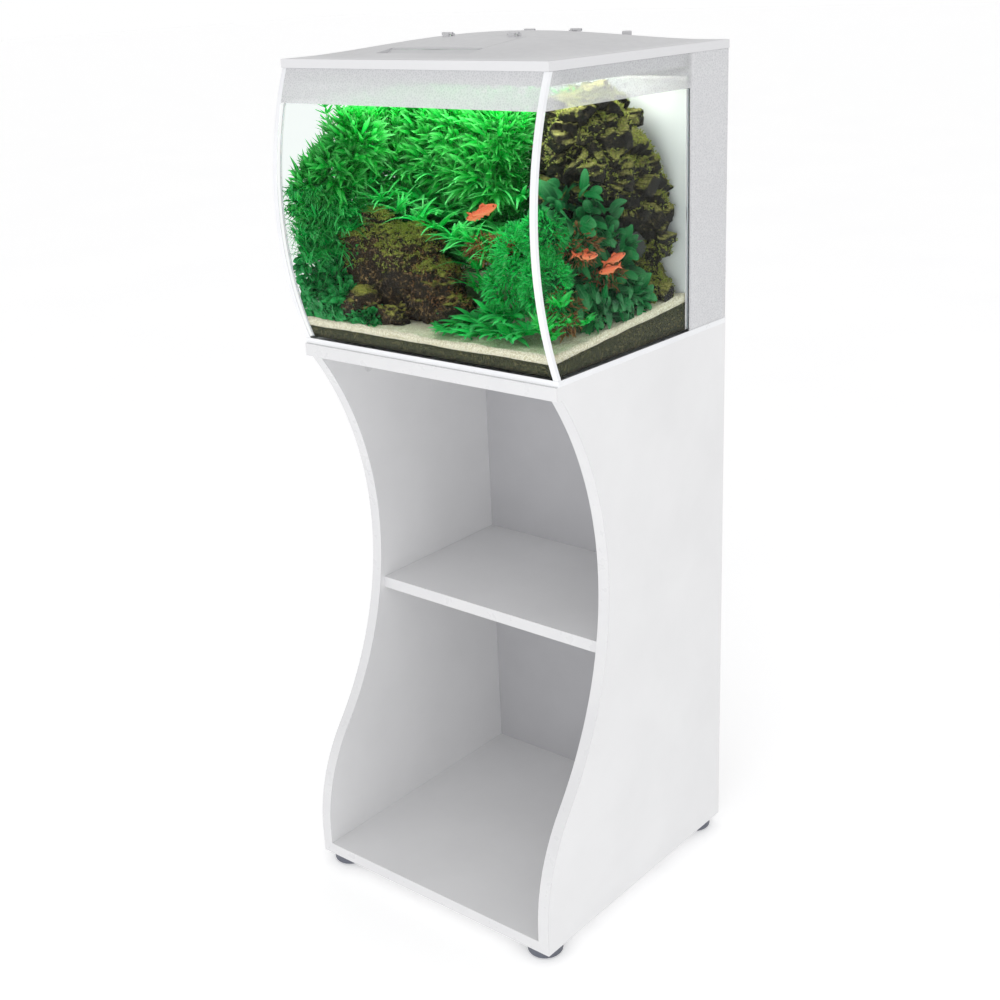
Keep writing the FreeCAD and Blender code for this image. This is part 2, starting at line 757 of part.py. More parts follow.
def partition_wall():
    """Upright wall with two intake combs near the surface, one low down and two outlet holes."""
    y = (size.filter_front, filter_rear_of_wall)
    wall = box_shape((-side_inner, side_inner), y, (tank_floor, stand_top + size.partition_height + 8))
    slot_width, slot_step, slot_count = 2.6, 6, 9
    slots = []
    for x_first, z in (
        (-170, (stand_top + 262, stand_top + 296)),
        (-25.3, (stand_top + 262, stand_top + 296)),
        (-24, (stand_top + 60, stand_top + 100)),
    ):
        for index in range(slot_count):
            x = x_first + index * slot_step
            slots.append(box_shape((x, x + slot_width), y, z))
    for sign in SIGNS:
        start = (sign * size.nozzle_spacing / 2, y[0], nozzle_z)
        slots.append(rod_shape(NOZZLE_BORE + size.running_gap, start, REARWARD, size.partition))
    solid("partition_wall", wall.cut(slots))


def filter_media():
    x, y, z = (-150, -62), (124, 192), (tank_floor + 6, tank_floor + 250)
    wall = 2
    slot_count, slot_first, slot_step, slot_height, slot_margin = 8, 24, 26, 4, 10
    shell = box_shape(x, y, z).cut(
        box_shape((x[0] + wall, x[1] - wall), (y[0] + wall, y[1] - wall), (z[0] + wall, z[1])))
    slots = []
    for level in range(slot_count):
        low = z[0] + slot_first + level * slot_step
        slot_z = (low, low + slot_height)
        slots.append(box_shape((x[0] + slot_margin, x[1] - slot_margin), y, slot_z))
        slots.append(box_shape(x, (y[0] + slot_margin, y[1] - slot_margin), slot_z))
    solid("media_basket", shell.cut(slots))

    gap = 1
    inside_x = (x[0] + wall + gap, x[1] - wall - gap)
    inside_y = (y[0] + wall + gap, y[1] - wall - gap)
    bags = [
        rounded_box(inside_x, inside_y, (z[0] + wall + low, z[0] + wall + high), 9)
        for low, high in ((0, 100), (103, 205))
    ]
    solid("media_bags", Part.makeCompound(bags))

    foam = rounded_box((62, 150), (124, 192), (tank_floor, tank_floor + 250), 3)
    lift_hole = rod_shape(9, (106, 158, tank_floor + 120), UPWARD, 140)
    solid("foam_block", foam.cut(lift_hole))


def pump():
    front, rear = 138, 186
    chamber_depth = 14
    rotor_length = 22
    shaft_seat = 2
    cover_thick = 3
    well = size.rotor_radius + 1
    axis = (0, front, pump_z)
    rotor_front = front + chamber_depth + 1
    outlet_y = front + 7

    casing_height = 62
    casing = box_shape((-26, 26), (front, rear), (tank_floor, tank_floor + casing_height))
    casing = casing.makeFillet(6, [e for e in casing.Edges if abs(e.tangentAt(e.FirstParameter).z) > 0.9])
    casing = casing.cut([
        rod_shape(size.chamber_radius, axis, REARWARD, chamber_depth),
        rod_shape(well, axis, REARWARD, chamber_depth + rotor_length + 2),
        rod_shape(size.shaft_radius, axis, REARWARD, chamber_depth + rotor_length + 2 + shaft_seat),
        rod_shape(size.pipe_bore, (0, outlet_y, pump_z), UPWARD, casing_height),
    ])
    solid("pump_body", casing)

    cover = rod_shape(20, (0, front - cover_thick, pump_z), REARWARD, cover_thick)
    intake = []
    intake_holes, intake_ring, intake_radius = 10, 11, 2.3
    for index in range(intake_holes):
        angle = index * math.tau / intake_holes
        start = (intake_ring * math.cos(angle), front - cover_thick, pump_z + intake_ring * math.sin(angle))
        intake.append(rod_shape(intake_radius, start, REARWARD, cover_thick))
    intake.append(rod_shape(size.shaft_radius, (0, front - shaft_seat, pump_z), REARWARD, shaft_seat))
    solid("pump_cover", cover.cut(intake))

    shaft_length = shaft_seat + chamber_depth + rotor_length + 2 + shaft_seat
    solid("impeller_shaft",
          rod_shape(size.shaft_radius, (0, front - shaft_seat, pump_z), REARWARD, shaft_length))

    rotor = rod_shape(size.rotor_radius, (0, rotor_front, pump_z), REARWARD, rotor_length)
    hub = rod_shape(5, (0, front + 3, pump_z), REARWARD, rotor_front - front - 3)
    blades = []
    blade_count, half_blade = 6, 0.8
    for index in range(blade_count):
        blade = box_shape((3, 13), (front + 3, front + 11), (pump_z - half_blade, pump_z + half_blade))
        blade.rotate(Vector(0, 0, pump_z), REARWARD, index * 360 / blade_count)
        blades.append(blade)
    bore = rod_shape(size.shaft_radius + size.running_gap, axis, REARWARD, rotor_length + chamber_depth + 4)
    solid("impeller", rotor.fuse([hub] + blades).removeSplitter().cut(bore))

    half = size.nozzle_spacing / 2
    pump_top = tank_floor + casing_height
    branch_end = filter_rear_of_wall + 3.4

    def pipes(radius, extra):
        """The riser, the cross pipe and its two branches, as one solid of the given radius."""
        riser = rod_shape(radius, (0, outlet_y, pump_top), UPWARD, nozzle_z - pump_top)
        cross = rod_shape(radius, (-half - extra, outlet_y, nozzle_z), RIGHTWARD, 2 * (half + extra))
        branches = [
            rod_shape(radius, (sign * half, branch_end, nozzle_z), REARWARD, outlet_y - branch_end)
            for sign in SIGNS
        ]
        return cross.fuse([riser] + branches)

    solid("outlet_pipe", pipes(size.pipe_radius, size.pipe_radius).cut(pipes(size.pipe_bore, 0)))


def nozzles():
    """Each outlet is a ring that turns in the partition and a ball tip that tilts in the ring."""
    ring_length = 12
    ring_radius = 15
    wall_gap = 0.1
    seat = size.ball_radius + 0.1
    ball_y = size.filter_front - ring_length / 2
    spout_radius, spout_bore, spout_reach = 5.2, 3.6, 22
    for side, sign in SIDES:
        x = sign * size.nozzle_spacing / 2
        ring = rod_shape(ring_radius, (x, ball_y - 6, nozzle_z), REARWARD, ring_length - wall_gap)
        neck = rod_shape(NOZZLE_BORE, (x, ball_y + 5, nozzle_z), REARWARD, size.partition + 4)
        grips = []
        for index in range(12):
            angle = index * math.tau / 12
            start = (x + (ring_radius + 1) * math.cos(angle), ball_y - 6,
                     nozzle_z + (ring_radius + 1) * math.sin(angle))
            grips.append(rod_shape(2, start, REARWARD, ring_length))
        socket = Part.makeSphere(seat, Vector(x, ball_y, nozzle_z))
        passage = rod_shape(6.5, (x, ball_y, nozzle_z), REARWARD, 20)
        solid(f"nozzle_ring_{side}", ring.fuse(neck).cut(grips + [socket, passage]))

        ball = Part.makeSphere(size.ball_radius, Vector(x, ball_y, nozzle_z))
        beyond = box_shape((x - 12, x + 12), (ball_y + 5.5, ball_y + 12), (nozzle_z - 12, nozzle_z + 12))
        spout = rod_shape(spout_radius, (x, ball_y - spout_reach, nozzle_z), REARWARD, spout_reach)
        bore = rod_shape(spout_bore, (x, ball_y - spout_reach, nozzle_z), REARWARD, spout_reach + 12)
        solid(f"nozzle_tip_{side}", ball.cut(beyond).fuse(spout).cut(bore))


# ---------------------------------------------------------------- ground, stones and planting


def aquascape():
    inner = (-side_inner + 0.2, side_inner - 0.2)
    soil_top = (tank_floor + size.soil_front, tank_floor + size.soil_rear)
    sand_top = (soil_top[0] + size.sand_thick, soil_top[1] + size.sand_thick)
    stone_base = tank_floor + 12

    rock_front = boulder((
        (stone_base, (
            (-176, -70), (-120, -100), (-30, -104), (36, -84),
            (28, -26), (-60, -14), (-150, -24))),
        (stone_base + 75, (
            (-168, -66), (-122, -92), (-50, -98), (18, -80),
            (10, -32), (-62, -20), (-146, -28))),
        (stone_base + 125, (
            (-152, -60), (-124, -80), (-80, -86), (-32, -72),
            (-38, -42), (-84, -30), (-138, -36))),
        (stone_base + 155, (
            (-132, -56), (-118, -66), (-98, -68), (-84, -60),
            (-88, -46), (-102, -42), (-124, -46))),
    ))
    rock_rear = boulder((
        (stone_base, ((48, -40), (110, -58), (190, -50), (192, 112), (110, 114), (56, 84))),
        (stone_base + 120, ((58, -30), (112, -52), (190, -48), (192, 106), (116, 104), (66, 74))),
        (stone_base + 200, ((76, -18), (116, -46), (188, -44), (190, 72), (124, 70), (84, 56))),
        (stone_base + 268, ((106, -16), (128, -38), (178, -38), (182, 8), (150, 16), (114, 10))),
    ))
    soil = ground_layer((tank_floor, tank_floor), soil_top, inner)
    sand = ground_layer(soil_top, sand_top, inner)
    solid("soil_layer", soil.cut([rock_front, rock_rear]))
    solid("sand_layer", sand.cut([rock_front, rock_rear]))
    solid("rock_front", rock_front)
    solid("rock_rear", rock_rear)

    leaf_base = sand_top[1] + 1

    def clump(x, y, height, taper):
        """Four sided clump of leaves that narrows towards the top."""
        mid_x, mid_y = (x[0] + x[1]) / 2, (y[0] + y[1]) / 2
        levels = []
        for part, share in ((0, 0.8), (0.45, 1), (1, taper)):
            half_x, half_y = share * (x[1] - x[0]) / 2, share * (y[1] - y[0]) / 2
            ring = [(mid_x - half_x, mid_y - half_y), (mid_x + half_x, mid_y - half_y),
                    (mid_x + half_x, mid_y + half_y), (mid_x - half_x, mid_y + half_y)]
            levels.append((leaf_base + part * height, ring))
        return boulder(levels)

    solid("plants", Part.makeCompound([
        clump((-190, -92), (-8, 84), 235, 0.8),
        clump((-86, 40), (-8, 80), 228, 0.8),
        clump((-188, -110), (-138, -106), 55, 0.6),
        clump((-60, 24), (-138, -108), 50, 0.6),
        clump((50, 188), (-134, -66), 62, 0.6),
    ]))


# ---------------------------------------------------------------- lid

rim_top = lid_base + size.lid_rim
feed_opening = SimpleNamespace(x=(-70, 70), y=(-99, -22))
filter_opening = SimpleNamespace(x=(-140, 140), y=(118, 186))
DOOR_GAP = 0.5
lid_mid_y = (size.lid_front + size.lid_rear) / 2
lid_half_depth = (size.lid_rear - size.lid_front) / 2


def crown_height(x, y):
    """Height of the lid's outer face above its rim."""
    across = 1 - (x / size.lid_half_width) ** 2
    along = 1 - ((y - lid_mid_y) / lid_half_depth) ** 2
    return size.lid_crown * across * along


def domed_block(inset, z_low):
    """Solid with upright sides and the crowned top of the lid, drawn in by inset on every side."""
    half_x = size.lid_half_width - inset
    y_low, y_high = size.lid_front + inset, size.lid_rear - inset
    z_edge = rim_top - inset
    crown = Part.BezierSurface()
    crown.increase(2, 2)
    for row, x in enumerate((-half_x, 0, half_x), start=1):
        for column, y in enumerate((y_low, lid_mid_y, y_high), start=1):
            lift = 4 * size.lid_crown if row == column == 2 else 0
            crown.setPole(row, column, Vector(x, y, z_edge + lift))
    top = crown.toShape()
    ring = [Vector(-half_x, y_low), Vector(half_x, y_low), Vector(half_x, y_high), Vector(-half_x, y_high)]
    low = [Vector(p.x, p.y, z_low) for p in ring]
    high = [Vector(p.x, p.y, z_edge) for p in ring]
    faces = [top, Part.Face(Part.makePolygon(low + low[:1]))]
    for index in range(4):
        after = (index + 1) % 4
        corners = [low[index], low[after], high[after], high[index], low[index]]
        faces.append(Part.Face(Part.makePolygon(corners)))
    shell = Part.Shell(faces)
    shell.sewShape()
    block_shape = Part.Solid(shell)
    block_shape.fix(0.001, 0.001, 0.001)
    return block_shape


def hinge(opening, axis_y, outward, knuckles_x):
    """Two-knuckle hinge on top of the lid. outward is the side of the axis that the flap is on."""
    axis_z = rim_top + crown_height(0, axis_y) + size.hinge_knuckle_radius
    sink = 6
    parts = SimpleNamespace(flap=[], lid=[], pins=[], bores=[], axis_z=axis_z)
    for sign in (-1, 1):
        near, far = knuckles_x
        lug = 4
        spans = {
            "flap": [(near, far)],
            "lid": [(near - lug, near - 0.3), (far + 0.3, far + lug)],
        }
        for owner, direction in (("flap", outward), ("lid", -outward)):
            for low, high in spans[owner]:
                x = sorted((sign * low, sign * high))
                start = (x[0], axis_y, axis_z)
                barrel = rod_shape(size.hinge_knuckle_radius, start, RIGHTWARD, x[1] - x[0])
                web_y = sorted((axis_y + direction * 1.2, axis_y + direction * 4.5))
                web = box_shape(x, web_y, (axis_z - sink, axis_z))
                link_y = sorted((axis_y, axis_y + direction * 1.5))
                link = box_shape(x, link_y, (axis_z - 0.9, axis_z + 0.9))
                getattr(parts, owner).append(barrel.fuse([web, link]))
        pin_x = sorted((sign * (near - lug), sign * (far + lug)))
        start = (pin_x[0], axis_y, axis_z)
        length = pin_x[1] - pin_x[0]
        parts.pins.append(rod_shape(size.hinge_pin_radius, start, RIGHTWARD, length))
        parts.bores.append(rod_shape(size.hinge_pin_radius + size.running_gap, start, RIGHTWARD, length))
    return parts


def lid():
    outer = domed_block(0, lid_base)
    inner = domed_block(size.lid_wall, lid_base)
    shell = outer.cut(inner)
    below_skin = domed_block(size.lid_wall, lid_base - 1)

    feed_hinge = hinge(feed_opening, feed_opening.y[1] + 0.6, -1, (46, 54))
    filter_hinge = hinge(filter_opening, filter_opening.y[0] - 0.6, 1, (32, 40))

    scoop_x = (-70, 70)
    scoop_y = (feed_opening.y[0] - 30, feed_opening.y[0])
    scoop_mid = (scoop_y[0] + scoop_y[1]) / 2
    scoop_radius = 26
    scoop_axis_z = rim_top + crown_height(0, scoop_mid) - 5 + scoop_radius
    pad = outer.common(box_shape((scoop_x[0] - 3, scoop_x[1] + 3), (scoop_y[0] - 2, scoop_y[1]),
                                 (rim_top - 5, rim_top + 30)))
    scoop_start = (scoop_x[0], scoop_mid, scoop_axis_z)
    scoop = rod_shape(scoop_radius, scoop_start, RIGHTWARD, scoop_x[1] - scoop_x[0])

    ledge_x = size.glass_half_width - 15.6
    ledge_y = (size.glass_front_high + 15.6, size.glass_rear - 15.6)
    wall = 2
    flange = box_shape((-size.lid_half_width, size.lid_half_width), (size.lid_front, size.lid_rear),
                       (lid_base, lid_base + size.lid_wall))
    locator = box_shape((-ledge_x, ledge_x), ledge_y, (lid_base - 6, lid_base))
    opening = box_shape((-ledge_x + wall, ledge_x - wall), (ledge_y[0] + wall, ledge_y[1] - wall),
                        (lid_base - 6, lid_base + size.lid_wall))

    tray_x, tray_y, tray_z = (-122, 122), (-12, 62), (lid_base - 12, lid_base + 4)
    screw_points = [(sign * 117, y) for sign in SIGNS for y in (-7, 57)]
    posts = [rod_shape(4, (x, y, tray_z[1]), UPWARD, 30) for x, y in screw_points]
    bosses = [post.common(below_skin) for post in posts]
    screw_holes = [rod_shape(1.5, (x, y, tray_z[1] - 2), UPWARD, 9) for x, y in screw_points]

    tall = (lid_base + size.lid_wall, rim_top + 40)
    feed_cut = box_shape(feed_opening.x, feed_opening.y, tall)
    filter_cut = box_shape(filter_opening.x, filter_opening.y, tall)
    cable_notch = box_shape((150, 168), (size.lid_rear - 4, size.lid_rear), (lid_base, lid_base + 6))
    shell = shell.fuse([pad, flange, locator]).cut([opening, scoop, feed_cut, filter_cut, cable_notch])
    lugs = feed_hinge.lid + filter_hinge.lid
    pins = feed_hinge.pins + filter_hinge.pins
    solid("lid_shell", shell.fuse(bosses + lugs).cut(screw_holes + pins))
    solid("lid_hinge_pins", Part.makeCompound(pins))

    skin = outer.cut(below_skin)

    def flap(limits):
        return skin.common(box_shape((limits.x[0] + DOOR_GAP, limits.x[1] - DOOR_GAP),
                                     (limits.y[0] + DOOR_GAP, limits.y[1] - DOOR_GAP), tall))

    solid("feed_door", flap(feed_opening).fuse(feed_hinge.flap).cut(feed_hinge.bores))
    knob_x, knob_y, knob_height = 88, 150, 5
    knob_low = rim_top + crown_height(knob_x, knob_y) - 1.5
    knob = rod_shape(6, (knob_x, knob_y, knob_low), UPWARD, knob_height + 1.5)
    knob = knob.makeFillet(1.5, [e for e in knob.Edges if e.BoundBox.ZMin > knob_low + knob_height])
    solid("filter_hatch", flap(filter_opening).fuse(filter_hinge.flap + [knob]).cut(filter_hinge.bores))

    tray_wall = 2
    tray = box_shape(tray_x, tray_y, tray_z)
    hollow = box_shape((tray_x[0] + tray_wall, tray_x[1] - tray_wall),
                       (tray_y[0] + tray_wall, tray_y[1] - tray_wall), (tray_z[0], tray_z[1] - tray_wall))
    holes = [rod_shape(1.5, (x, y, tray_z[1] - tray_wall), UPWARD, tray_wall) for x, y in screw_points]
    solid("led_housing", tray.cut([hollow] + holes))
    board_z = tray_z[1] - tray_wall - 1.6
    board = box_shape((-110, 110), (2, 48), (board_z, board_z + 1.6))
    chips = [
        box_shape((x - 2.5, x + 2.5), (y - 2.5, y + 2.5), (board_z - 1.2, board_z))
        for x in range(-99, 100, 22) for y in (14, 36)
    ]
    solid("led_board", board.fuse(chips))
    solid("led_diffuser", box_shape((tray_x[0] + tray_wall, tray_x[1] - tray_wall),
                                    (tray_y[0] + tray_wall, tray_y[1] - tray_wall),
                                    (tray_z[0], tray_z[0] + 2)))
    screws = []
    for x, y in screw_points:
        head_low = tray_z[1] - tray_wall - 1.8
        head = rod_shape(2.6, (x, y, head_low), UPWARD, 1.8)
        screws.append(head.fuse(rod_shape(1.5, (x, y, head_low), UPWARD, 1.8 + tray_wall + 6)))
    solid("led_screws", Part.makeCompound(screws))


# ---------------------------------------------------------------- build and export

NODES = [
    "bottom_board", "top_board", "side_panel_left", "side_panel_right", "middle_shelf", "back_panel",
    "edge_bands_lower", "edge_bands_middle", "edge_bands_upper", "board_edge_bands",
    "wood_dowels", "base_screws", "cam_bolts", "cam_locks", "cam_caps",
    "foot_front_left", "foot_front_right", "foot_rear_left", "foot_rear_right", "foot_screws",
    "base_frame", "glass_front", "glass_left", "glass_right", "glass_rear", "glass_bottom",
    "corner_trim_left", "corner_trim_right", "top_frame",
    "wrap_front", "wrap_left", "wrap_right", "wrap_rear",
    "partition_wall", "media_basket", "media_bags", "foam_block",
    "pump_body", "pump_cover", "impeller_shaft", "impeller", "outlet_pipe",
    "nozzle_ring_left", "nozzle_ring_right", "nozzle_tip_left", "nozzle_tip_right",
    "soil_layer", "sand_layer", "rock_front", "rock_rear", "plants",
    "lid_shell", "lid_hinge_pins", "feed_door", "filter_hatch",
    "led_housing", "led_board", "led_diffuser", "led_screws",
]

stand()
tank()
partition_wall()
filter_media()
pump()
nozzles()
aquascape()
lid()
doc.recompute()

for thing in doc.Objects:
    if "Invalid" in thing.State or "Error" in thing.State:
        raise RuntimeError(f"{thing.Label} is {thing.State}")

os.makedirs("parts", exist_ok=True)
for stale in os.listdir("parts"):
    if stale.endswith(".step"):
        os.remove(os.path.join("parts", stale))
for name in NODES:
    found = doc.getObjectsByLabel(name)
    if len(found) != 1:
        raise RuntimeError(f"{name}: {len(found)} objects have this label")
    shape = found[0].Shape
    if shape.isNull() or not shape.isValid() or not shape.Solids:
        raise RuntimeError(f"{name} has no valid solid")
    shape.exportStep(os.path.join("parts", name + ".step"))
    print(f"{name}: {len(shape.Solids)} solids, {shape.Volume / 1000:.1f} cm3")
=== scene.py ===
"""The looks of a small planted aquarium on an open, S-fronted stand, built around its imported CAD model.

Lengths in the tables are in millimetres, in the frame's axes: +X right, -Y front, +Z up, floor at z = 0.
Sizes inside a material and a mesh's finished points are in metres.
"""
import json
import math
import random

import bmesh
import bpy
import numpy as np
from mathutils import Matrix, Vector, noise

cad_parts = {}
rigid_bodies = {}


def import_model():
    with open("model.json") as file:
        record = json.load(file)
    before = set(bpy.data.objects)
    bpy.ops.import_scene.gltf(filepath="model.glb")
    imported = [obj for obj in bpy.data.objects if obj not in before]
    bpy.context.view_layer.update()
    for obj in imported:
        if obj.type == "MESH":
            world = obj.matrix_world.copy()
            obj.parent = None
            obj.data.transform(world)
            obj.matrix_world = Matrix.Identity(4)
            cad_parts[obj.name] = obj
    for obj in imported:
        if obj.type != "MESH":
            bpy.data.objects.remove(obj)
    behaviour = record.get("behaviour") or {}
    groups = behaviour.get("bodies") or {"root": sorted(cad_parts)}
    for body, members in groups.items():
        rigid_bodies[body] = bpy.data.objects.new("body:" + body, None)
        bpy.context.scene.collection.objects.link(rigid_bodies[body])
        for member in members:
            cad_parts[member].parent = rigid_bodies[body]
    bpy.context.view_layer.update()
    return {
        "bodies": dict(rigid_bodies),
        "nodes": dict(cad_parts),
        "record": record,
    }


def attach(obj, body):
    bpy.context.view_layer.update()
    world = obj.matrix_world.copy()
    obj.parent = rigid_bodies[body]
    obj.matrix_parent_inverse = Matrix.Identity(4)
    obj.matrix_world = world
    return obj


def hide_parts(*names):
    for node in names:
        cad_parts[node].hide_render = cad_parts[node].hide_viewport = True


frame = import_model()
nodes = frame["nodes"]
body_of_node = {
    node: body for body, members in frame["record"]["behaviour"]["bodies"].items() for node in members
}
slot_of_node = {part["node"]: part["material_slot"] for part in frame["record"]["subparts"]}

MM = 0.001
TAU = math.tau
DOWN = np.array((0.0, 0.0, -1.0))

# Levels and planes of the tank and its lid, shared by several pieces.
PANE_INSIDE_X = 194.0
PARTITION_FRONT_Y = 117.0
PARTITION_REAR_Y = PARTITION_FRONT_Y + 3
FRONT_ARC_Y, FRONT_ARC_Z = 245.3, 912.3
FRONT_ARC_INNER = 422.8
TANK_FLOOR_Z = 749.0
SOIL_FRONT_Z, SOIL_REAR_Z = 765.0, 784.0
SAND_DEPTH = 11
WATER_Z = 1047.0
SEAM_TOP_Z = 1072
LID_RIM_TOP_Z = 1086.8

# The ground's height is laid out over this depth, from behind the front pane to the partition.
GROUND_FRONT_Y = -150
GROUND_DEPTH = 265


# ---------------- shader helpers


def linear(red, green, blue):
    """The linear colour of an sRGB colour from 0 to 255."""
    def channel(value):
        share = value / 255
        return share / 12.92 if share <= 0.04045 else ((share + 0.055) / 1.055) ** 2.4
    return (channel(red), channel(green), channel(blue), 1.0)


class Tree:
    """A material's node tree, with short ways to add nodes to it."""

    def __init__(self, name):
        self.material = bpy.data.materials.new(name)
        self.material.use_nodes = True
        self.nodes = self.material.node_tree.nodes
        self.links = self.material.node_tree.links
        self.nodes.clear()
        self.place = self.add("ShaderNodeTexCoord").outputs["Object"]

    def add(self, kind, settings=None, sockets=None):
        """A new node from its properties (settings) and its inputs (sockets), each a value or an output."""
        node = self.nodes.new(kind)
        for key, value in (settings or {}).items():
            setattr(node, key, value)
        for key, value in (sockets or {}).items():
            if isinstance(value, bpy.types.NodeSocket):
                self.links.new(value, node.inputs[key])
            else:
                node.inputs[key].default_value = value
        return node

    def noise(self, scale, detail=3.0, rough=0.55, place=None, distortion=0.0):
        sockets = {"Vector": place or self.place, "Scale": scale, "Detail": detail,
                   "Roughness": rough, "Distortion": distortion}
        return self.add("ShaderNodeTexNoise", None, sockets).outputs["Fac"]

    def cells(self, scale, feature="F1", output="Distance", place=None):
        sockets = {"Vector": place or self.place, "Scale": scale}
        return self.add("ShaderNodeTexVoronoi", {"feature": feature}, sockets).outputs[output]

    def ramp(self, factor, low, high, start=0.0, end=1.0):
        """factor from low..high mapped to start..end, held within them."""
        sockets = {"Value": factor, "From Min": low, "From Max": high, "To Min": start, "To Max": end}
        return self.add("ShaderNodeMapRange", {"clamp": True}, sockets).outputs["Result"]

    def cloud(self, scale, detail, low=0.3, high=0.7, start=0.0, end=1.0):
        """Noise from low..high mapped to start..end."""
        return self.ramp(self.noise(scale, detail), low, high, start, end)

    def mix(self, factor, first, second):
        """First where factor is 0 and second where it is 1, each an output or an sRGB colour."""
        sockets = {0: factor}
        for key, value in ((6, first), (7, second)):
            sockets[key] = value if isinstance(value, bpy.types.NodeSocket) else linear(*value)
        return self.add("ShaderNodeMix", {"data_type": "RGBA"}, sockets).outputs[2]

    def math(self, operation, first, second=0.0):
        return self.add("ShaderNodeMath", {"operation": operation}, {0: first, 1: second}).outputs["Value"]

    def axis(self, name):
        """One coordinate of the surface, in metres."""
        return self.add("ShaderNodeSeparateXYZ", None, {"Vector": self.place}).outputs[name]

    def waves(self, axis, pitch):
        """A sine wave along an axis, with its crests pitch metres apart."""
        return self.math("SINE", self.math("MULTIPLY", self.axis(axis), TAU / pitch))

    def leaf_values(self):
        """What a mesh's "leaf" attribute holds: a tone, the way along and the way across."""
        leaf = self.add("ShaderNodeAttribute", {"attribute_name": "leaf"}).outputs["Color"]
        parts = self.add("ShaderNodeSeparateColor", None, {"Color": leaf})
        return (parts.outputs[key] for key in ("Red", "Green", "Blue"))

    def outer_face(self):
        """1 on the faces a ray enters by and 0 on those it leaves by."""
        behind = self.add("ShaderNodeNewGeometry").outputs["Backfacing"]
        return self.math("SUBTRACT", 1.0, behind)

    def bump(self, height, distance, strength):
        sockets = {"Height": height, "Distance": distance, "Strength": strength}
        return self.add("ShaderNodeBump", None, sockets).outputs["Normal"]

    def shader(self, kind, sockets):
        return self.add("ShaderNodeBsdf" + kind, None, sockets).outputs["BSDF"]

    def blend(self, factor, first, second):
        """Shader first where factor is 0 and second where it is 1."""
        return self.add("ShaderNodeMixShader", None, {0: factor, 1: first, 2: second}).outputs["Shader"]

    def finish(self, shader):
        """The material, showing shader."""
        self.add("ShaderNodeOutputMaterial", None, {"Surface": shader})
        return self.material

    def skin(self, base, roughness, bump=None, more=None):
        """A principled shader: bump is its height, distance and strength, and more its further inputs."""
        sockets = {"Base Color": base, "Roughness": roughness, **(more or {})}
        if bump:
            sockets["Normal"] = self.bump(*bump)
        return self.shader("Principled", sockets)

    def surface(self, *inputs):
        """The material of a plain opaque surface, from the inputs of skin."""
        return self.finish(self.skin(*inputs))


# ---------------- materials


def melamine(name, colour, shade):
    """Melamine-faced board: a faint cloudiness in the white and a fine pearl embossing."""
    tree = Tree(name)
    fleck = tree.math("MULTIPLY", tree.cloud(2600, 2, 0.35, 0.65), 0.08)
    base = tree.mix(fleck, tree.mix(tree.cloud(9, 4), shade, colour), shade)
    gloss = tree.cloud(300, 3, 0.3, 0.7, 0.36, 0.46)
    return tree.surface(base, gloss, (tree.noise(1100, 3), 0.00006, 0.3), {"Specular IOR Level": 0.35})


def moulded(name, colour, shade, roughness=0.32, grain=0.00008, scale=900):
    """Moulded plastic: almost even colour, a fine spark-eroded grain and slow changes of gloss."""
    tree = Tree(name)
    base = tree.mix(tree.cloud(24, 3), shade, colour)
    gloss = tree.cloud(60, 4, 0.3, 0.7, roughness - 0.05, roughness + 0.06)
    return tree.surface(base, gloss, (tree.noise(scale, 2), grain, 0.5), {"Specular IOR Level": 0.45})


def lid_finish():
    """The lid: a white rim under a light grey satin crown."""
    tree = Tree("lid satin grey over white rim")
    rim_top = LID_RIM_TOP_Z * MM
    crown = tree.ramp(tree.axis("Z"), rim_top, rim_top + 0.0016)
    grey = tree.mix(tree.cloud(14, 4), (203, 203, 205), (211, 211, 213))
    base = tree.mix(crown, (217, 217, 219), grey)
    return tree.surface(base, tree.cloud(90, 3, 0.3, 0.7, 0.30, 0.40), (tree.noise(1500, 2), 0.00008, 0.45))


def metal(name, colour, roughness):
    """Zinc-plated steel with fine drawing lines."""
    tree = Tree(name)
    lines = tree.noise(1800, 3)
    base = tree.mix(tree.cloud(200, 3), colour, (150, 152, 156))
    gloss = tree.ramp(lines, 0.3, 0.7, roughness - 0.08, roughness + 0.1)
    return tree.surface(base, gloss, (lines, 0.00005, 0.4), {"Metallic": 1.0})


def beech():
    tree = Tree("beech dowel")
    stretch = tree.add("ShaderNodeMapping", None, {"Vector": tree.place, "Scale": (40, 900, 900)})
    grain = tree.noise(1.0, 4, place=stretch.outputs["Vector"])
    base = tree.mix(tree.ramp(grain, 0.35, 0.65), (186, 148, 104), (212, 178, 134))
    return tree.surface(base, 0.62, (grain, 0.0002, 0.5))


def pane_glass():
    """Clear float glass: it mirrors a little at low angles, with a trace of green."""
    tree = Tree("clear float glass")
    fresnel = tree.add("ShaderNodeFresnel", None, {"IOR": 1.12}).outputs["Fac"]
    smear = tree.cloud(18, 4, 0.35, 0.75, 0.85, 1.0)
    share = tree.math("MULTIPLY", tree.math("MULTIPLY", fresnel, smear), tree.outer_face())
    clear = tree.shader("Transparent", {"Color": (0.993, 0.998, 0.996, 1)})
    mirror = tree.shader("Glossy", {"Color": (0.96, 0.98, 0.98, 1), "Roughness": 0.02})
    return tree.finish(tree.blend(share, clear, mirror))


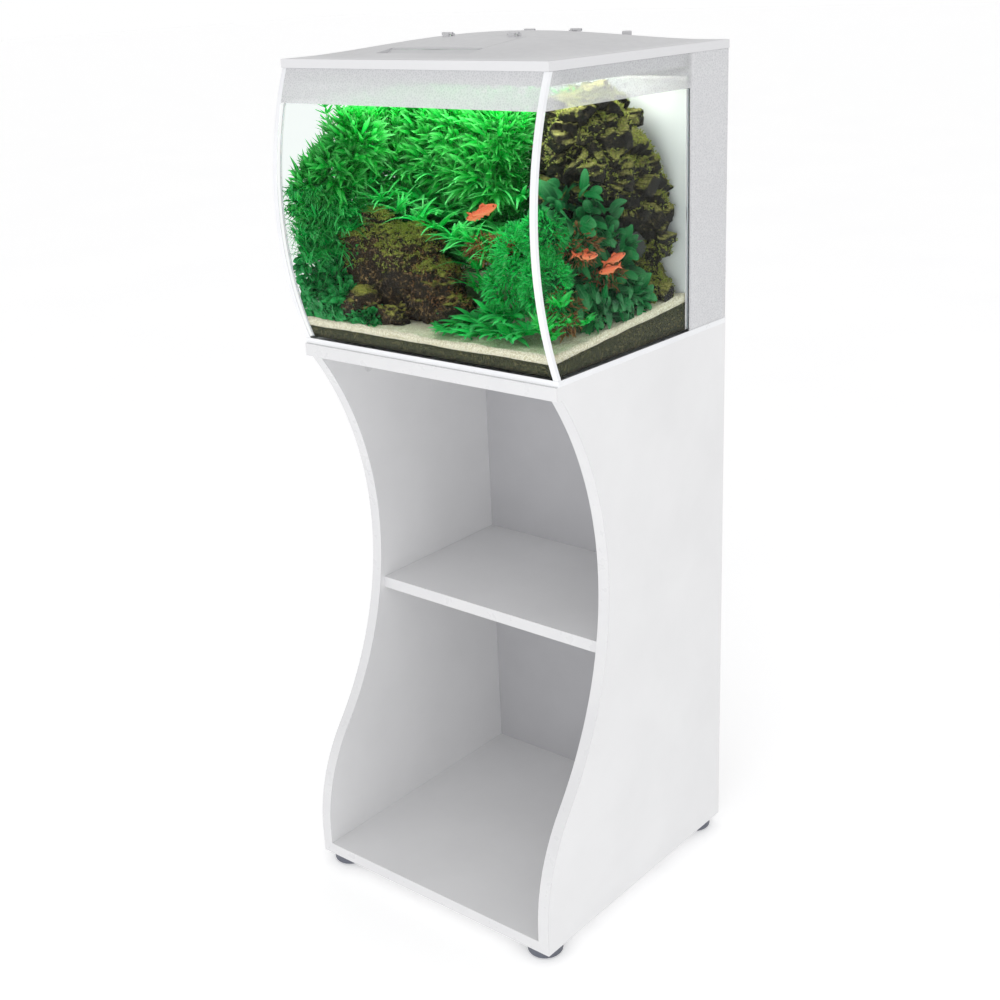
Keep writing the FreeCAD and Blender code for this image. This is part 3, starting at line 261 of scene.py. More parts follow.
def water_surface():
    """Still water: nearly clear, slightly green, with a soft ripple on its skin."""
    tree = Tree("aquarium water")
    fresnel = tree.add("ShaderNodeFresnel", None, {"IOR": 1.14}).outputs["Fac"]
    top = tree.ramp(tree.axis("Z"), WATER_Z * MM - 0.002, WATER_Z * MM - 0.0008)
    share = tree.math("MULTIPLY", tree.math("MULTIPLY", fresnel, top), tree.outer_face())
    clear = tree.shader("Transparent", {"Color": (0.978, 0.995, 0.988, 1)})
    ripples = tree.bump(tree.noise(26, 2), 0.0012, 0.5)
    skin = tree.shader("Glossy", {"Color": (0.9, 0.95, 0.94, 1), "Roughness": 0.03, "Normal": ripples})
    return tree.finish(tree.blend(tree.math("MULTIPLY", share, 0.3), clear, skin))


def pattern_film():
    """The film on the glass: small printed cells, denser at the front and over the filter chamber."""
    tree = Tree("cell patterned film")
    wall = tree.ramp(tree.cells(330, "DISTANCE_TO_EDGE"), 0.02, 0.22, 1.0, 0.0)
    mottle = tree.noise(420, 3)
    tone = tree.math("ADD", tree.math("MULTIPLY", wall, 0.55), tree.math("MULTIPLY", mottle, 0.45))
    base = tree.mix(tree.ramp(tone, 0.1, 0.85), (214, 215, 218), (229, 229, 231))
    partition_y = PARTITION_FRONT_Y * MM
    chamber = tree.ramp(tree.axis("Y"), partition_y - 0.005, partition_y + 0.005, 0.0, 0.40)
    front = tree.ramp(tree.axis("Y"), -0.150, -0.125, 0.28, 0.0)
    opaque = tree.math("ADD", tree.ramp(tone, 0.1, 0.85, 0.42, 0.50), tree.math("ADD", chamber, front))
    printed = tree.skin(base, 0.42, (tone, 0.00006, 0.4))
    film = tree.blend(0.06, printed, tree.shader("Translucent", {"Color": base}))
    return tree.finish(tree.blend(opaque, tree.shader("Transparent", {"Color": (1, 1, 1, 1)}), film))


def silicone():
    tree = Tree("milky silicone")
    base = tree.mix(tree.cloud(120, 3), (222, 226, 226), (238, 240, 240))
    return tree.surface(base, 0.28, (tree.noise(260, 2), 0.0003, 0.5), {"Subsurface Weight": 0.2})


def grains(name, usual, other, odd, gap, size):
    """Loose grains, each cell one rounded grain in one of three colours, with painted shade in a darker
    colour between the grains.
    """
    tree = Tree(name)
    pick = tree.cells(1 / size, "F1", "Color")
    choose = tree.add("ShaderNodeSeparateColor", None, {"Color": pick})
    base = tree.mix(tree.ramp(choose.outputs["Red"], 0.15, 0.85), usual, other)
    base = tree.mix(tree.ramp(choose.outputs["Green"], 0.72, 0.80), base, odd)
    # Painted shade: the lines between the grains take the darker gap colour.
    base = tree.mix(tree.ramp(tree.cells(1 / size, "DISTANCE_TO_EDGE"), 0.0, 0.16), gap, base)
    height = tree.math("SUBTRACT", 1.0, tree.cells(1 / size))
    return tree.surface(base, 0.85, (height, 0.0012, 0.8))


def stone(name, deep, body, light, moss_dark, moss_light, moss_from):
    """Rough stone with cracks darkened as painted shade, and moss on the faces that look up."""
    tree = Tree(name)
    strata = tree.noise(34, 8, 0.68, distortion=0.6)
    fine = tree.noise(260, 6, 0.7)
    warp = tree.add("ShaderNodeMapping", None, {"Vector": tree.place, "Scale": (1.0, 1.3, 0.55)})
    crack = tree.ramp(tree.cells(58, "DISTANCE_TO_EDGE", place=warp.outputs["Vector"]), 0.0, 0.05, 0.45, 1.0)
    fleck = tree.math("MULTIPLY", tree.ramp(fine, 0.52, 0.66), tree.cloud(120, 3, 0.42, 0.60))
    base = tree.mix(tree.ramp(strata, 0.34, 0.62), deep, body)
    base = tree.mix(tree.math("MULTIPLY", fleck, 0.85), base, light)
    # Painted shade: the cracks are darkened towards the deep colour.
    base = tree.mix(crack, deep, base)
    facing = tree.add("ShaderNodeNewGeometry").outputs["Normal"]
    upward = tree.add("ShaderNodeSeparateXYZ", None, {"Vector": facing}).outputs["Z"]
    patch = tree.math("ADD", upward, tree.math("MULTIPLY", tree.noise(52, 6, 0.7), 0.9))
    moss = tree.mix(tree.cloud(500, 3, 0.35, 0.65), moss_dark, moss_light)
    base = tree.mix(tree.ramp(patch, moss_from, moss_from + 0.4), base, moss)
    relief = tree.math("ADD", tree.math("MULTIPLY", strata, 0.7), tree.math("MULTIPLY", fine, 0.3))
    return tree.surface(base, 0.82, (relief, 0.004, 0.9))


def leaves(name, dark, light, tip):
    """Living leaves, darker or lighter by each leaf's tone, paler at the tip and along the vein."""
    tree = Tree(name)
    tone, along, across = tree.leaf_values()
    base = tree.mix(tone, dark, light)
    base = tree.mix(tree.ramp(along, 0.35, 1.0, 0.0, 0.6), base, tip)
    base = tree.mix(tree.ramp(across, 0.0, 0.16, 0.35, 0.0), base, tip)
    base = tree.mix(tree.cloud(420, 4, 0.3, 0.7, 0.75, 1.0), dark, base)
    skin = tree.skin(base, 0.42, (tree.noise(900, 2), 0.0003, 0.4), {"Specular IOR Level": 0.3})
    return tree.finish(tree.blend(0.38, skin, tree.shader("Translucent", {"Color": base})))


def fish_skin():
    """Orange-red fish: a darker back, a paler belly and small scales."""
    tree = Tree("orange red fish")
    height, _, _ = tree.leaf_values()
    scales = tree.cells(1100)
    base = tree.mix(tree.ramp(height, 0.0, 0.45), (236, 140, 88), (222, 78, 38))
    base = tree.mix(tree.ramp(height, 0.6, 1.0), base, (178, 44, 26))
    base = tree.mix(tree.ramp(scales, 0.1, 0.6, 0.0, 0.25), base, (255, 176, 110))
    return tree.surface(base, 0.30, (scales, 0.0002, 0.4), {"Specular IOR Level": 0.6})


def diffuser():
    """Frosted lamp cover with fine prisms, lit from behind."""
    tree = Tree("frosted diffuser")
    prisms = tree.waves("X", 0.003)
    base = tree.mix(tree.ramp(prisms, -1, 1), (226, 232, 236), (246, 249, 250))
    glow = {"Emission Color": base, "Emission Strength": 1.2}
    return tree.surface(base, 0.35, (prisms, 0.0004, 0.6), glow)


def plain(name, dark, light, scale, detail, low, high, roughness):
    """A smooth, almost even surface whose colour varies a little."""
    tree = Tree(name)
    return tree.surface(tree.mix(tree.cloud(scale, detail, low, high), dark, light), roughness)


def open_foam():
    tree = Tree("open cell foam")
    pores = tree.cells(900, "DISTANCE_TO_EDGE")
    # Painted shade: the middle of each pore is painted darker, standing in for the shade inside the foam's
    # holes.
    base = tree.mix(tree.ramp(pores, 0.0, 0.25), (52, 52, 54), (14, 14, 15))
    return tree.surface(base, 0.95, (pores, 0.001, 0.8))


def mesh_bag():
    tree = Tree("mesh bag over granules")
    weave = tree.math("ADD", tree.waves("Z", 0.0016), tree.waves("X", 0.0016))
    lumps = tree.math("ADD", tree.math("MULTIPLY", tree.cells(140), -3.0), weave)
    base = tree.mix(tree.ramp(weave, -1.2, 1.2), (150, 146, 134), (218, 215, 204))
    return tree.surface(base, 0.9, (lumps, 0.0006, 0.8), {"Sheen Weight": 0.3})


FINISHES = {
    "panel_white": melamine("white melamine", (230, 230, 231), (225, 225, 226)),
    # Painted shade: the boards of this slot, the back panel among them, are the same white melamine as the
    # others, greyed to darken the inside of the stand.
    "panel_grey": melamine("white back panel with painted shade", (184, 184, 187), (178, 178, 181)),
    "band_white": moulded("white edge band", (220, 220, 221), (216, 216, 218), 0.3, 0.00003),
    "beech": beech(),
    "zinc_steel": metal("zinc plated steel", (176, 178, 184), 0.34),
    "foot_grey": moulded("dark grey foot", (104, 107, 118), (88, 91, 101), 0.5, 0.0002, 700),
    "clear_glass": pane_glass(),
    "white_plastic": moulded("white moulded plastic", (238, 239, 241), (230, 231, 234)),
    "lid_plastic": lid_finish(),
    "pattern_film": pattern_film(),
    "pump_black": moulded("black pump plastic", (38, 38, 40), (30, 30, 32), 0.45, 0.0002),
    "basket_grey": moulded("grey basket plastic", (96, 99, 102), (84, 87, 90), 0.45, 0.0002),
    "foam_black": open_foam(),
    "media_fabric": mesh_bag(),
    "ceramic_white": plain("ground ceramic", (222, 218, 208), (238, 236, 228), 700, 3, 0.4, 0.6, 0.25),
    "rotor_blue": moulded("blue rotor", (52, 78, 128), (44, 66, 112), 0.4),
    "led_white": plain("lamp board", (226, 228, 228), (240, 241, 240), 500, 2, 0.4, 0.6, 0.4),
    "diffuser": diffuser(),
    # In each bed of grains, the colour given just before the grain size is painted shade between the grains.
    "soil_dark": grains("dark soil", (70, 74, 46), (54, 58, 36), (96, 94, 62), (22, 24, 14), 0.0026),
    "sand_pale": grains("pale sand", (250, 247, 228), (238, 235, 210), (216, 209, 176), (192, 186, 158),
                        0.0016),
    "rock_brown": stone("mossy brown stone", (7, 5, 2), (38, 25, 11), (204, 168, 112),
                        (92, 100, 26), (176, 170, 82), 0.95),
    "rock_dark": stone("dark stone", (4, 4, 2), (20, 17, 10), (104, 94, 58),
                       (82, 86, 30), (168, 164, 92), 0.75),
}
# Painted light: the partition is the same white moulded plastic as white_plastic, made whiter to brighten it
# where it stands in the tank's shade.
PARTITION_PAINTED_LIGHT = moulded("partition white with painted light", (250, 250, 250), (244, 245, 246), 0.4)
SKIN = fish_skin()
EYE = plain("fish eye", (8, 8, 10), (26, 24, 24), 900, 2, 0.3, 0.7, 0.08)
SILICONE = silicone()
for node, piece in nodes.items():
    if slot_of_node[node] in FINISHES:
        piece.data.materials.clear()
        piece.data.materials.append(PARTITION_PAINTED_LIGHT if node == "partition_wall" else FINISHES[slot_of_node[node]])


# ---------------- mesh helpers


def placed(name, data):
    """A new object that shows data, linked into the scene."""
    thing = bpy.data.objects.new(name, data)
    bpy.context.collection.objects.link(thing)
    return thing


def shade_smooth(mesh):
    mesh.polygons.foreach_set("use_smooth", [True] * len(mesh.polygons))


def apply_modifiers(piece):
    """Gives the piece the mesh that its modifiers make, and returns that mesh."""
    made = bpy.data.meshes.new_from_object(piece.evaluated_get(bpy.context.evaluated_depsgraph_get()))
    piece.modifiers.clear()
    piece.data = made
    return made


def fixed_piece(name, vertices, faces, material):
    """A smooth mesh object from vertices in metres, riding on the fixed body."""
    mesh = bpy.data.meshes.new(name)
    mesh.from_pydata([tuple(v) for v in vertices], [], [tuple(f) for f in faces])
    mesh.materials.append(material)
    mesh.validate()
    mesh.update()
    piece = placed(name, mesh)
    shade_smooth(mesh)
    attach(piece, "root")
    return piece


def vectors_of(items, key):
    """One vector of each of a mesh's vertices, normals or faces, as the rows of an array."""
    values = np.zeros(len(items) * 3)
    items.foreach_get(key, values)
    return values.reshape(-1, 3)


def tube_faces(first, rings, size):
    """The quads between neighbouring rings of size points each, from vertex first on."""
    faces = []
    for ring in range(rings):
        for index in range(size):
            a = first + ring * size + index
            b = first + ring * size + (index + 1) % size
            faces.append((a, b, b + size, a + size))
    return faces


def rounded(node, radius):
    """A copy of a CAD node with softly rounded edges, shown in its place."""
    same_point = 1e-6
    flat_angle, sharp_angle = math.radians(0.6), math.radians(35)
    mesh = bpy.data.meshes.new(node + "_rounded")
    work = bmesh.new()
    work.from_mesh(nodes[node].data)
    bmesh.ops.remove_doubles(work, verts=work.verts, dist=same_point)
    bmesh.ops.dissolve_limit(work, angle_limit=flat_angle, verts=work.verts, edges=work.edges)
    sharp = [edge for edge in work.edges
             if len(edge.link_faces) == 2 and edge.calc_face_angle(0) > sharp_angle]
    bmesh.ops.bevel(work, geom=sharp, offset=radius * MM, segments=2, profile=0.5,
                    affect="EDGES", clamp_overlap=True)
    work.to_mesh(mesh)
    work.free()
    mesh.materials.append(FINISHES[slot_of_node[node]])
    shade_smooth(mesh)
    piece = placed(node + "_rounded", mesh)
    piece.modifiers.new("flat faces", "WEIGHTED_NORMAL").weight = 100
    apply_modifiers(piece)
    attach(piece, body_of_node[node])
    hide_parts(node)


ROUNDED_EDGES = {
    "top_board": 0.5, "bottom_board": 0.5, "middle_shelf": 0.4,
    "side_panel_left": 0.4, "side_panel_right": 0.4,
    "board_edge_bands": 0.3, "edge_bands_upper": 0.25, "edge_bands_lower": 0.25,
    "base_frame": 0.8, "top_frame": 0.5,
    "corner_trim_left": 0.3, "corner_trim_right": 0.3,
}
for node, radius in ROUNDED_EDGES.items():
    rounded(node, radius)


def front_inner_y(z):
    """Where the inside of the bowed front pane is at height z, a number or an array."""
    return FRONT_ARC_Y - np.sqrt(FRONT_ARC_INNER ** 2 - (z - FRONT_ARC_Z) ** 2)


def set_leaf_attribute(mesh, values):
    """Stores tone, way along and way across for every vertex."""
    attribute = mesh.attributes.new("leaf", "FLOAT_COLOR", "POINT")
    full = np.ones((len(mesh.vertices), 4), np.float32)
    full[:, :3] = values
    attribute.data.foreach_set("color", full.ravel())


def unit(vectors):
    vectors = np.asarray(vectors, float)
    return vectors / np.maximum(np.linalg.norm(vectors, axis=-1, keepdims=True), 1e-9)


# How wide each kind of leaf is along its length, as a share of its full width.
OUTLINES = {
    "lance": lambda t: np.sin(np.pi * np.clip(t, 0.03, 0.985) ** 0.75),
    "blade": lambda t: np.minimum(1.0, 6 * t + 0.3) * np.clip(1.05 - t, 0.04, 1) ** 0.6,
    "oval": lambda t: np.sqrt(np.clip(1 - (1.9 * t - 0.93) ** 2, 0.02, 1)),
}


class Foliage:
    """Collects leaves, and makes them into one mesh."""

    def __init__(self, seed):
        self.random = random.Random(seed)
        self.leaves = []

    def leaf(self, base, along, side, length, width, droop, tone):
        """One leaf from base on, with the ways along and across it. Its tone is from 0 to 1."""
        self.leaves.append((*base, *along, *side, length, width, droop, tone))

    def piece(self, name, material, outline, rows):
        """One mesh of all the leaves, each folded along its middle and held inside the tank."""
        fold = 0.35
        table = np.array(self.leaves, float)
        base, along, side = table[:, :3], unit(table[:, 3:6]), table[:, 6:9]
        side = unit(side - along * np.sum(side * along, axis=1, keepdims=True))
        up = np.cross(side, along)
        length, width, droop, tones = table[:, 9:].T
        way = np.linspace(0, 1, rows + 1)
        spine = (base[:, None] + along[:, None] * (length[:, None] * way)[..., None]
                 + DOWN * (droop[:, None] * length[:, None] * way ** 2)[..., None])
        half = 0.5 * width[:, None] * OUTLINES[outline](way)[None]
        lift = up[:, None] * (fold * half)[..., None]
        left = spine - side[:, None] * half[..., None] + lift
        right = spine + side[:, None] * half[..., None] + lift
        points = np.stack((left, spine, right), axis=2)
        count = len(base)
        points = confine(points.reshape(-1, 3))
        tone = np.repeat(tones, (rows + 1) * 3)
        way_all = np.tile(np.repeat(way, 3), count)
        across = np.tile(np.array((1.0, 0.0, 1.0)), count * (rows + 1))
        first = np.arange(count)[:, None, None] * (rows + 1) * 3
        step = np.arange(rows)[None, :, None] * 3
        quad = np.array(((0, 1, 4, 3), (1, 2, 5, 4)))
        faces = (first[..., None] + step[..., None] + quad[None, None]).reshape(-1, 4)
        made = fixed_piece(name, points * MM, faces, material)
        set_leaf_attribute(made.data, np.stack((tone, way_all, across), axis=1))
        return made


def confine(points, top_z=WATER_Z - 3):
    """Moves points that would poke through the panes or the water back inside the tank."""
    gap, front_gap, soil_cover = 1.2, 1.4, 14
    points = points.copy()
    points[:, 0] = np.clip(points[:, 0], -PANE_INSIDE_X + gap, PANE_INSIDE_X - gap)
    points[:, 2] = np.clip(points[:, 2], TANK_FLOOR_Z + soil_cover, top_z)
    points[:, 1] = np.clip(points[:, 1], front_inner_y(points[:, 2]) + front_gap, PARTITION_FRONT_Y - gap)
    return points


# ---------------- ground


def heightfield(name, low, high, material):
    """A closed block of ground between two height functions, fitted to the bowed front pane."""
    columns, rows = 120, 90
    side_gap, end_gap, finer_at_front = 0.3, 0.4, 1.15
    top, bottom = [], []
    for row in range(rows + 1):
        for column in range(columns + 1):
            x = -PANE_INSIDE_X + side_gap + column / columns * 2 * (PANE_INSIDE_X - side_gap)
            share = row / rows
            for store, level in ((bottom, low), (top, high)):
                front = front_inner_y(level(x, GROUND_FRONT_Y + share * GROUND_DEPTH)) + end_gap
                y = front + share ** finer_at_front * (PARTITION_FRONT_Y - end_gap - front)
                store.append((x, y, level(x, y)))
    vertices = [Vector(point) * MM for point in bottom + top]
    wide = columns + 1
    lift = len(bottom)
    faces = []
    for row in range(rows):
        for column in range(columns):
            a = row * wide + column
            faces.append((a, a + wide, a + wide + 1, a + 1))
            faces.append((lift + a, lift + a + 1, lift + a + wide + 1, lift + a + wide))
    rim = []
    for row in range(rows):
        rim += ((row * wide, (row + 1) * wide), ((row + 1) * wide + columns, row * wide + columns))
    for column in range(columns):
        rim += ((column + 1, column), (rows * wide + column, rows * wide + column + 1))
    faces += [(a, lift + a, lift + b, b) for a, b in rim]
    return fixed_piece(name, vertices, faces, material)


def ripple(x, y, scale, height, seed):
    """Gentle unevenness, about scale long and height high."""
    return height * noise.fractal(Vector((x / scale, y / scale, seed)), 0.9, 2.1, 4)


def soil_top(x, y):
    share = min(1.0, max(0.0, (y - GROUND_FRONT_Y) / GROUND_DEPTH))
    return SOIL_FRONT_Z + share * (SOIL_REAR_Z - SOIL_FRONT_Z) + ripple(x, y, 60, 1.2, 3.1)


def sand_top(x, y):
    return soil_top(x, y) + SAND_DEPTH + ripple(x, y, 46, 2.6, 7.7) + ripple(x, y, 9, 0.7, 1.3)


soil = heightfield("soil_bed", lambda x, y: TANK_FLOOR_Z + 0.3, soil_top, FINISHES["soil_dark"])
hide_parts("soil_layer")
sand = heightfield("sand_bed", lambda x, y: soil_top(x, y) + 0.15, sand_top, FINISHES["sand_pale"])
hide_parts("sand_layer")


# ---------------- stones


def boulder(name, lumps, seed, coarse, fine, block_step, slot, node):
    """A stone grown together from lumps, then broken into blocks, cracks and grit.

    A lump is an ellipsoid, given as the x, y and z of its centre and its three radii.
    """
    work = bmesh.new()
    for lump in lumps:
        centre, radii = Vector(lump[:3]) * MM, Vector(lump[3:]) * MM
        matrix = Matrix.Translation(centre) @ Matrix.Diagonal((*radii, 1))
        bmesh.ops.create_icosphere(work, subdivisions=4, radius=1.0, matrix=matrix)
    mesh = bpy.data.meshes.new(name)
    work.to_mesh(mesh)
    work.free()
    piece = placed(name, mesh)
    remesh = piece.modifiers.new("grow together", "REMESH")
    remesh.mode = "VOXEL"
    remesh.voxel_size = 0.0024
    merged = apply_modifiers(piece)
    points, normals = vectors_of(merged.vertices, "co"), vectors_of(merged.vertex_normals, "vector")
    offset = Vector((seed, seed * 1.7, seed * 0.3))
    bend, block_flatness, crack_width = 0.006, 1.5, 0.14
    broad_scale, ridge_scale, grit_scale, bend_scale, block_scale = 22, 46, 190, 60, 30
    for index in range(len(points)):
        place = Vector(points[index])
        broad = noise.hetero_terrain(place * broad_scale + offset, 0.9, 2.2, 5, 0.7) - 0.7
        ridge = noise.ridged_multi_fractal(place * ridge_scale + offset, 0.9, 2.1, 4, 1.0, 2.0) - 1.2
        grit = noise.fractal(place * grit_scale + offset, 0.8, 2.1, 3)
        bent = place + bend * noise.noise_vector(place * bend_scale + offset)
        bent.z *= block_flatness
        near, seeds = noise.voronoi(bent * block_scale + offset)
        block = block_step * (noise.cell(seeds[0] * 9) - 0.5)
        crack = 0.45 * block_step * max(0.0, 1 - (near[1] - near[0]) / crack_width)
        points[index] += normals[index] * MM * (
            coarse * 0.5 * broad + coarse * 0.32 * ridge + fine * grit + block - crack)
    points = confine(points / MM, STONE_TOP_Z) * MM
    merged.vertices.foreach_set("co", points.ravel())
    merged.materials.clear()
    merged.materials.append(FINISHES[slot])
    shade_smooth(merged)
    merged.update()
    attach(piece, "root")
    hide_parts(node)
    return piece


def surface_points(piece, count, seed, lowest_up, inside):
    """Random points with normals on a mesh, inside a box, where it faces up by more than lowest_up."""
    polygons = piece.data.polygons
    centres, normals = vectors_of(polygons, "center") / MM, vectors_of(polygons, "normal")
    chosen = normals[:, 2] > lowest_up
    for axis, (low, high) in enumerate(inside):
        chosen &= (centres[:, axis] > low) & (centres[:, axis] < high)
    pool = np.flatnonzero(chosen)
    picks = np.random.default_rng(seed).choice(pool, size=min(count, len(pool)), replace=False)
    return centres[picks], normals[picks]


STONE_TOP_Z = WATER_Z + 2

# Unless they have a seed, the vectors that bend the stones' blocks are drawn anew in each run.
BEND_SEED = 1794898288
noise.seed_set(BEND_SEED)

front_stone = boulder("front_stone", (
    (-126, -92, 842, 52, 34, 66), (-76, -90, 838, 50, 36, 54), (-32, -92, 812, 46, 32, 44),
    (-162, -86, 806, 28, 32, 46), (-118, -128, 786, 30, 20, 28), (-68, -130, 782, 26, 16, 22),
    (4, -96, 790, 30, 26, 30),
), 3.3, 9, 1.2, 6, "rock_brown", "rock_front")
rear_stone = boulder("rear_stone", (
    (130, 6, 992, 48, 48, 60), (86, 26, 998, 38, 40, 50), (152, 58, 930, 38, 46, 60),
    (108, 72, 1002, 40, 32, 46), (62, 82, 1000, 34, 24, 44),
    (168, 88, 884, 24, 26, 62), (150, 82, 806, 42, 30, 46), (96, 34, 866, 46, 56, 96),
    (112, 14, 930, 44, 50, 66), (70, 60, 830, 34, 44, 60), (164, -2, 948, 26, 34, 40),
), 8.1, 8, 1.6, 13, "rock_dark", "rock_rear")


# ---------------- planting

GREEN = {
    "stem": leaves("bright stem leaves", (4, 116, 36), (24, 228, 78), (140, 250, 150)),
    "fern": leaves("long fern leaves", (6, 146, 46), (34, 244, 104), (140, 253, 160)),
    "grass": leaves("fine grass leaves", (2, 116, 48), (22, 218, 92), (118, 244, 146)),
    "moss": leaves("green moss", (4, 132, 56), (24, 232, 100), (108, 244, 148)),
    "low": leaves("low dark leaves", (4, 88, 38), (24, 176, 80), (92, 220, 130)),
    "oval": leaves("broad dark leaves", (4, 70, 34), (22, 144, 72), (98, 200, 124)),
    "olive": leaves("olive moss", (96, 112, 34), (176, 186, 80), (212, 216, 132)),
    "brown": leaves("brown moss", (84, 50, 24), (150, 104, 62), (204, 160, 112)),
}


def stem_top(x, y):
    """How high the tall planting reaches: low in the left front corner, up to the water elsewhere."""
    low_z, rise = 966, 70
    from_corner = x + 0.83 * (y + 165)
    return low_z + rise * min(1.0, max(0.0, (from_corner + 140) / 30))


def swaying_stems(foliage, region, start_z):
    """Upright stems with whorls of small leaves, denser and brighter near their tips. Returns their paths."""
    spacing, whorl_step, shortest = 12.5, 6.5, 20
    leaf_length, leaf_width, leaf_droop = 21, 4.4, 0.25
    rng = foliage.random
    (x0, x1), (y0, y1) = region
    stems = []
    for _ in range(int((x1 - x0) * (y1 - y0) / spacing ** 2)):
        root = np.array((rng.uniform(x0, x1), rng.uniform(y0, y1), start_z + rng.uniform(-14, 14)))
        height = stem_top(root[0], root[1]) + rng.uniform(-30, 6) - root[2]
        if height < shortest:
            continue
        lean = np.array((rng.uniform(-20, 20), rng.uniform(-18, 14), height))
        sway = np.array((rng.uniform(-9, 9), rng.uniform(-9, 9), 0))
        vigour = rng.uniform(0.7, 1.25)
        levels = max(3, int(height / whorl_step / vigour))
        turn = rng.uniform(0, TAU)
        path = []
        for level in range(levels + 1):
            share = level / levels
            place = root + lean * share + sway * math.sin(math.pi * share)
            path.append(place)
            turn += rng.uniform(0.7, 1.3)
            crowd = rng.choice((3, 4, 4, 5)) + (2 if share > 0.85 else 0)
            for index in range(crowd):
                angle = turn + index * TAU / crowd + rng.uniform(-0.4, 0.4)
                out = np.array((math.cos(angle), math.sin(angle), rng.uniform(0.0, 0.7) + 0.7 * share ** 3))
                side = np.array((-math.sin(angle), math.cos(angle), rng.uniform(-0.3, 0.3)))
                grow = vigour * rng.uniform(0.7, 1.25) * (0.75 + 0.35 * (1 - share))
                tone = min(1.0, max(0.0, 0.15 + 0.75 * share ** 2 + rng.uniform(-0.25, 0.25)))
                foliage.leaf(place, out, side, leaf_length * grow, leaf_width * grow, leaf_droop, tone)
        stems.append(path)
    return stems


def stalks(name, stems, material):
    """Thin five-sided stalks that taper along each stem's path."""
    radius, sides = 0.9, 5
    vertices, faces, values = [], [], []
    for path in stems:
        along = unit(path[-1] - path[0])
        side = unit(np.cross(along, (0.3, 0.9, 0.1)))
        other = np.cross(along, side)
        first = len(vertices)
        last = len(path) - 1
        for ring, place in enumerate(path):
            thickness = radius * (1 - 0.6 * ring / last)
            for index in range(sides):
                angle = index * TAU / sides
                vertices.append(place + (side * math.cos(angle) + other * math.sin(angle)) * thickness)
                values.append((0.4, 0.3, 1.0))
        faces += tube_faces(first, last, sides)
        faces.append(tuple(range(len(vertices) - sides, len(vertices))))
    made = fixed_piece(name, confine(np.array(vertices)) * MM, faces, material)
    set_leaf_attribute(made.data, np.array(values))


def rosette(foliage, centre, count, length, width, spread, droop, lean=(0, 0, 0), tone=(0.2, 0.9)):
    """Leaves that rise from one point and arch outwards, leaning a little one way."""
    rng = foliage.random
    for _ in range(count):
        angle = rng.uniform(0, TAU)
        rise = rng.uniform(0.45, 1.3)
        out = np.array((math.cos(angle) * spread, math.sin(angle) * spread, rise)) + np.array(lean)
        side = np.array((-math.sin(angle), math.cos(angle), rng.uniform(-0.35, 0.35)))
        start = np.array(centre, float) + np.array((rng.uniform(-5, 5), rng.uniform(-5, 5), 0))
        foliage.leaf(start, out, side, length * rng.uniform(0.6, 1.1), width * rng.uniform(0.75, 1.15),
                     droop * rng.uniform(0.6, 1.3), rng.uniform(*tone))


def tuft(foliage, centres, normals, per_point, length, width, tone, wander=0.8):
    """Small leaves that stand out from a surface in all directions."""
    rng = foliage.random
    for centre, normal in zip(centres, normals):
        for _ in range(per_point):
            out = unit(normal + np.array([rng.uniform(-wander, wander) for _ in range(3)]))
            side = unit(np.cross(out, (rng.uniform(-1, 1), rng.uniform(-1, 1), 0.4)))
            start = centre + np.array([rng.uniform(-2, 2) for _ in range(3)])
            foliage.leaf(start, out, side, length * rng.uniform(0.6, 1.3), width * rng.uniform(0.7, 1.2),
                         rng.uniform(-0.1, 0.4), rng.uniform(*tone))


def mound_points(rng, lumps, count):
    """Points and normals spread over a few lumps, each the x, y and z of a centre and three radii."""
    centres, normals = [], []
    for _ in range(count):
        lump = np.array(lumps[rng.randrange(len(lumps))])
        direction = unit(np.array([rng.gauss(0, 1) for _ in range(3)]))
        centres.append(lump[:3] + direction * lump[3:] * rng.uniform(0.75, 1.0))
        normals.append(direction)
    return np.array(centres), np.array(normals)


for name, seed, region, start_z in (
    ("tall_left", 11, ((-188, -128), (-112, 96)), 800),
    ("tall_middle", 22, ((-130, 64), (-26, 58)), 836),
):
    tall = Foliage(seed)
    stems = swaying_stems(tall, region, start_z)
    tall_leaves = tall.piece(name + "_leaves", GREEN["stem"], "lance", rows=3)
    stalks(name + "_stalks", stems, GREEN["stem"])
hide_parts("plants")

bush = Foliage(23)
bush_centres, bush_normals = mound_points(bush.random, (
    (-150, -40, 986, 34, 40, 38), (-96, -18, 994, 40, 24, 32), (-36, -22, 990, 44, 24, 36),
    (22, -26, 990, 36, 24, 36), (-66, -30, 956, 50, 20, 30), (6, -34, 950, 46, 20, 34),
    (-128, -40, 946, 36, 30, 34), (-178, -138, 926, 15, 26, 34), (-158, -116, 952, 26, 28, 28),
    (-138, -100, 984, 28, 26, 30), (-176, -110, 946, 18, 26, 26),
), 2100)
tuft(bush, bush_centres, bush_normals + (0, -0.2, 0.5), 2, 24, 5.0, (0.0, 1.0), 0.7)
bush.piece("upper_bush_leaves", GREEN["stem"], "lance", rows=4)

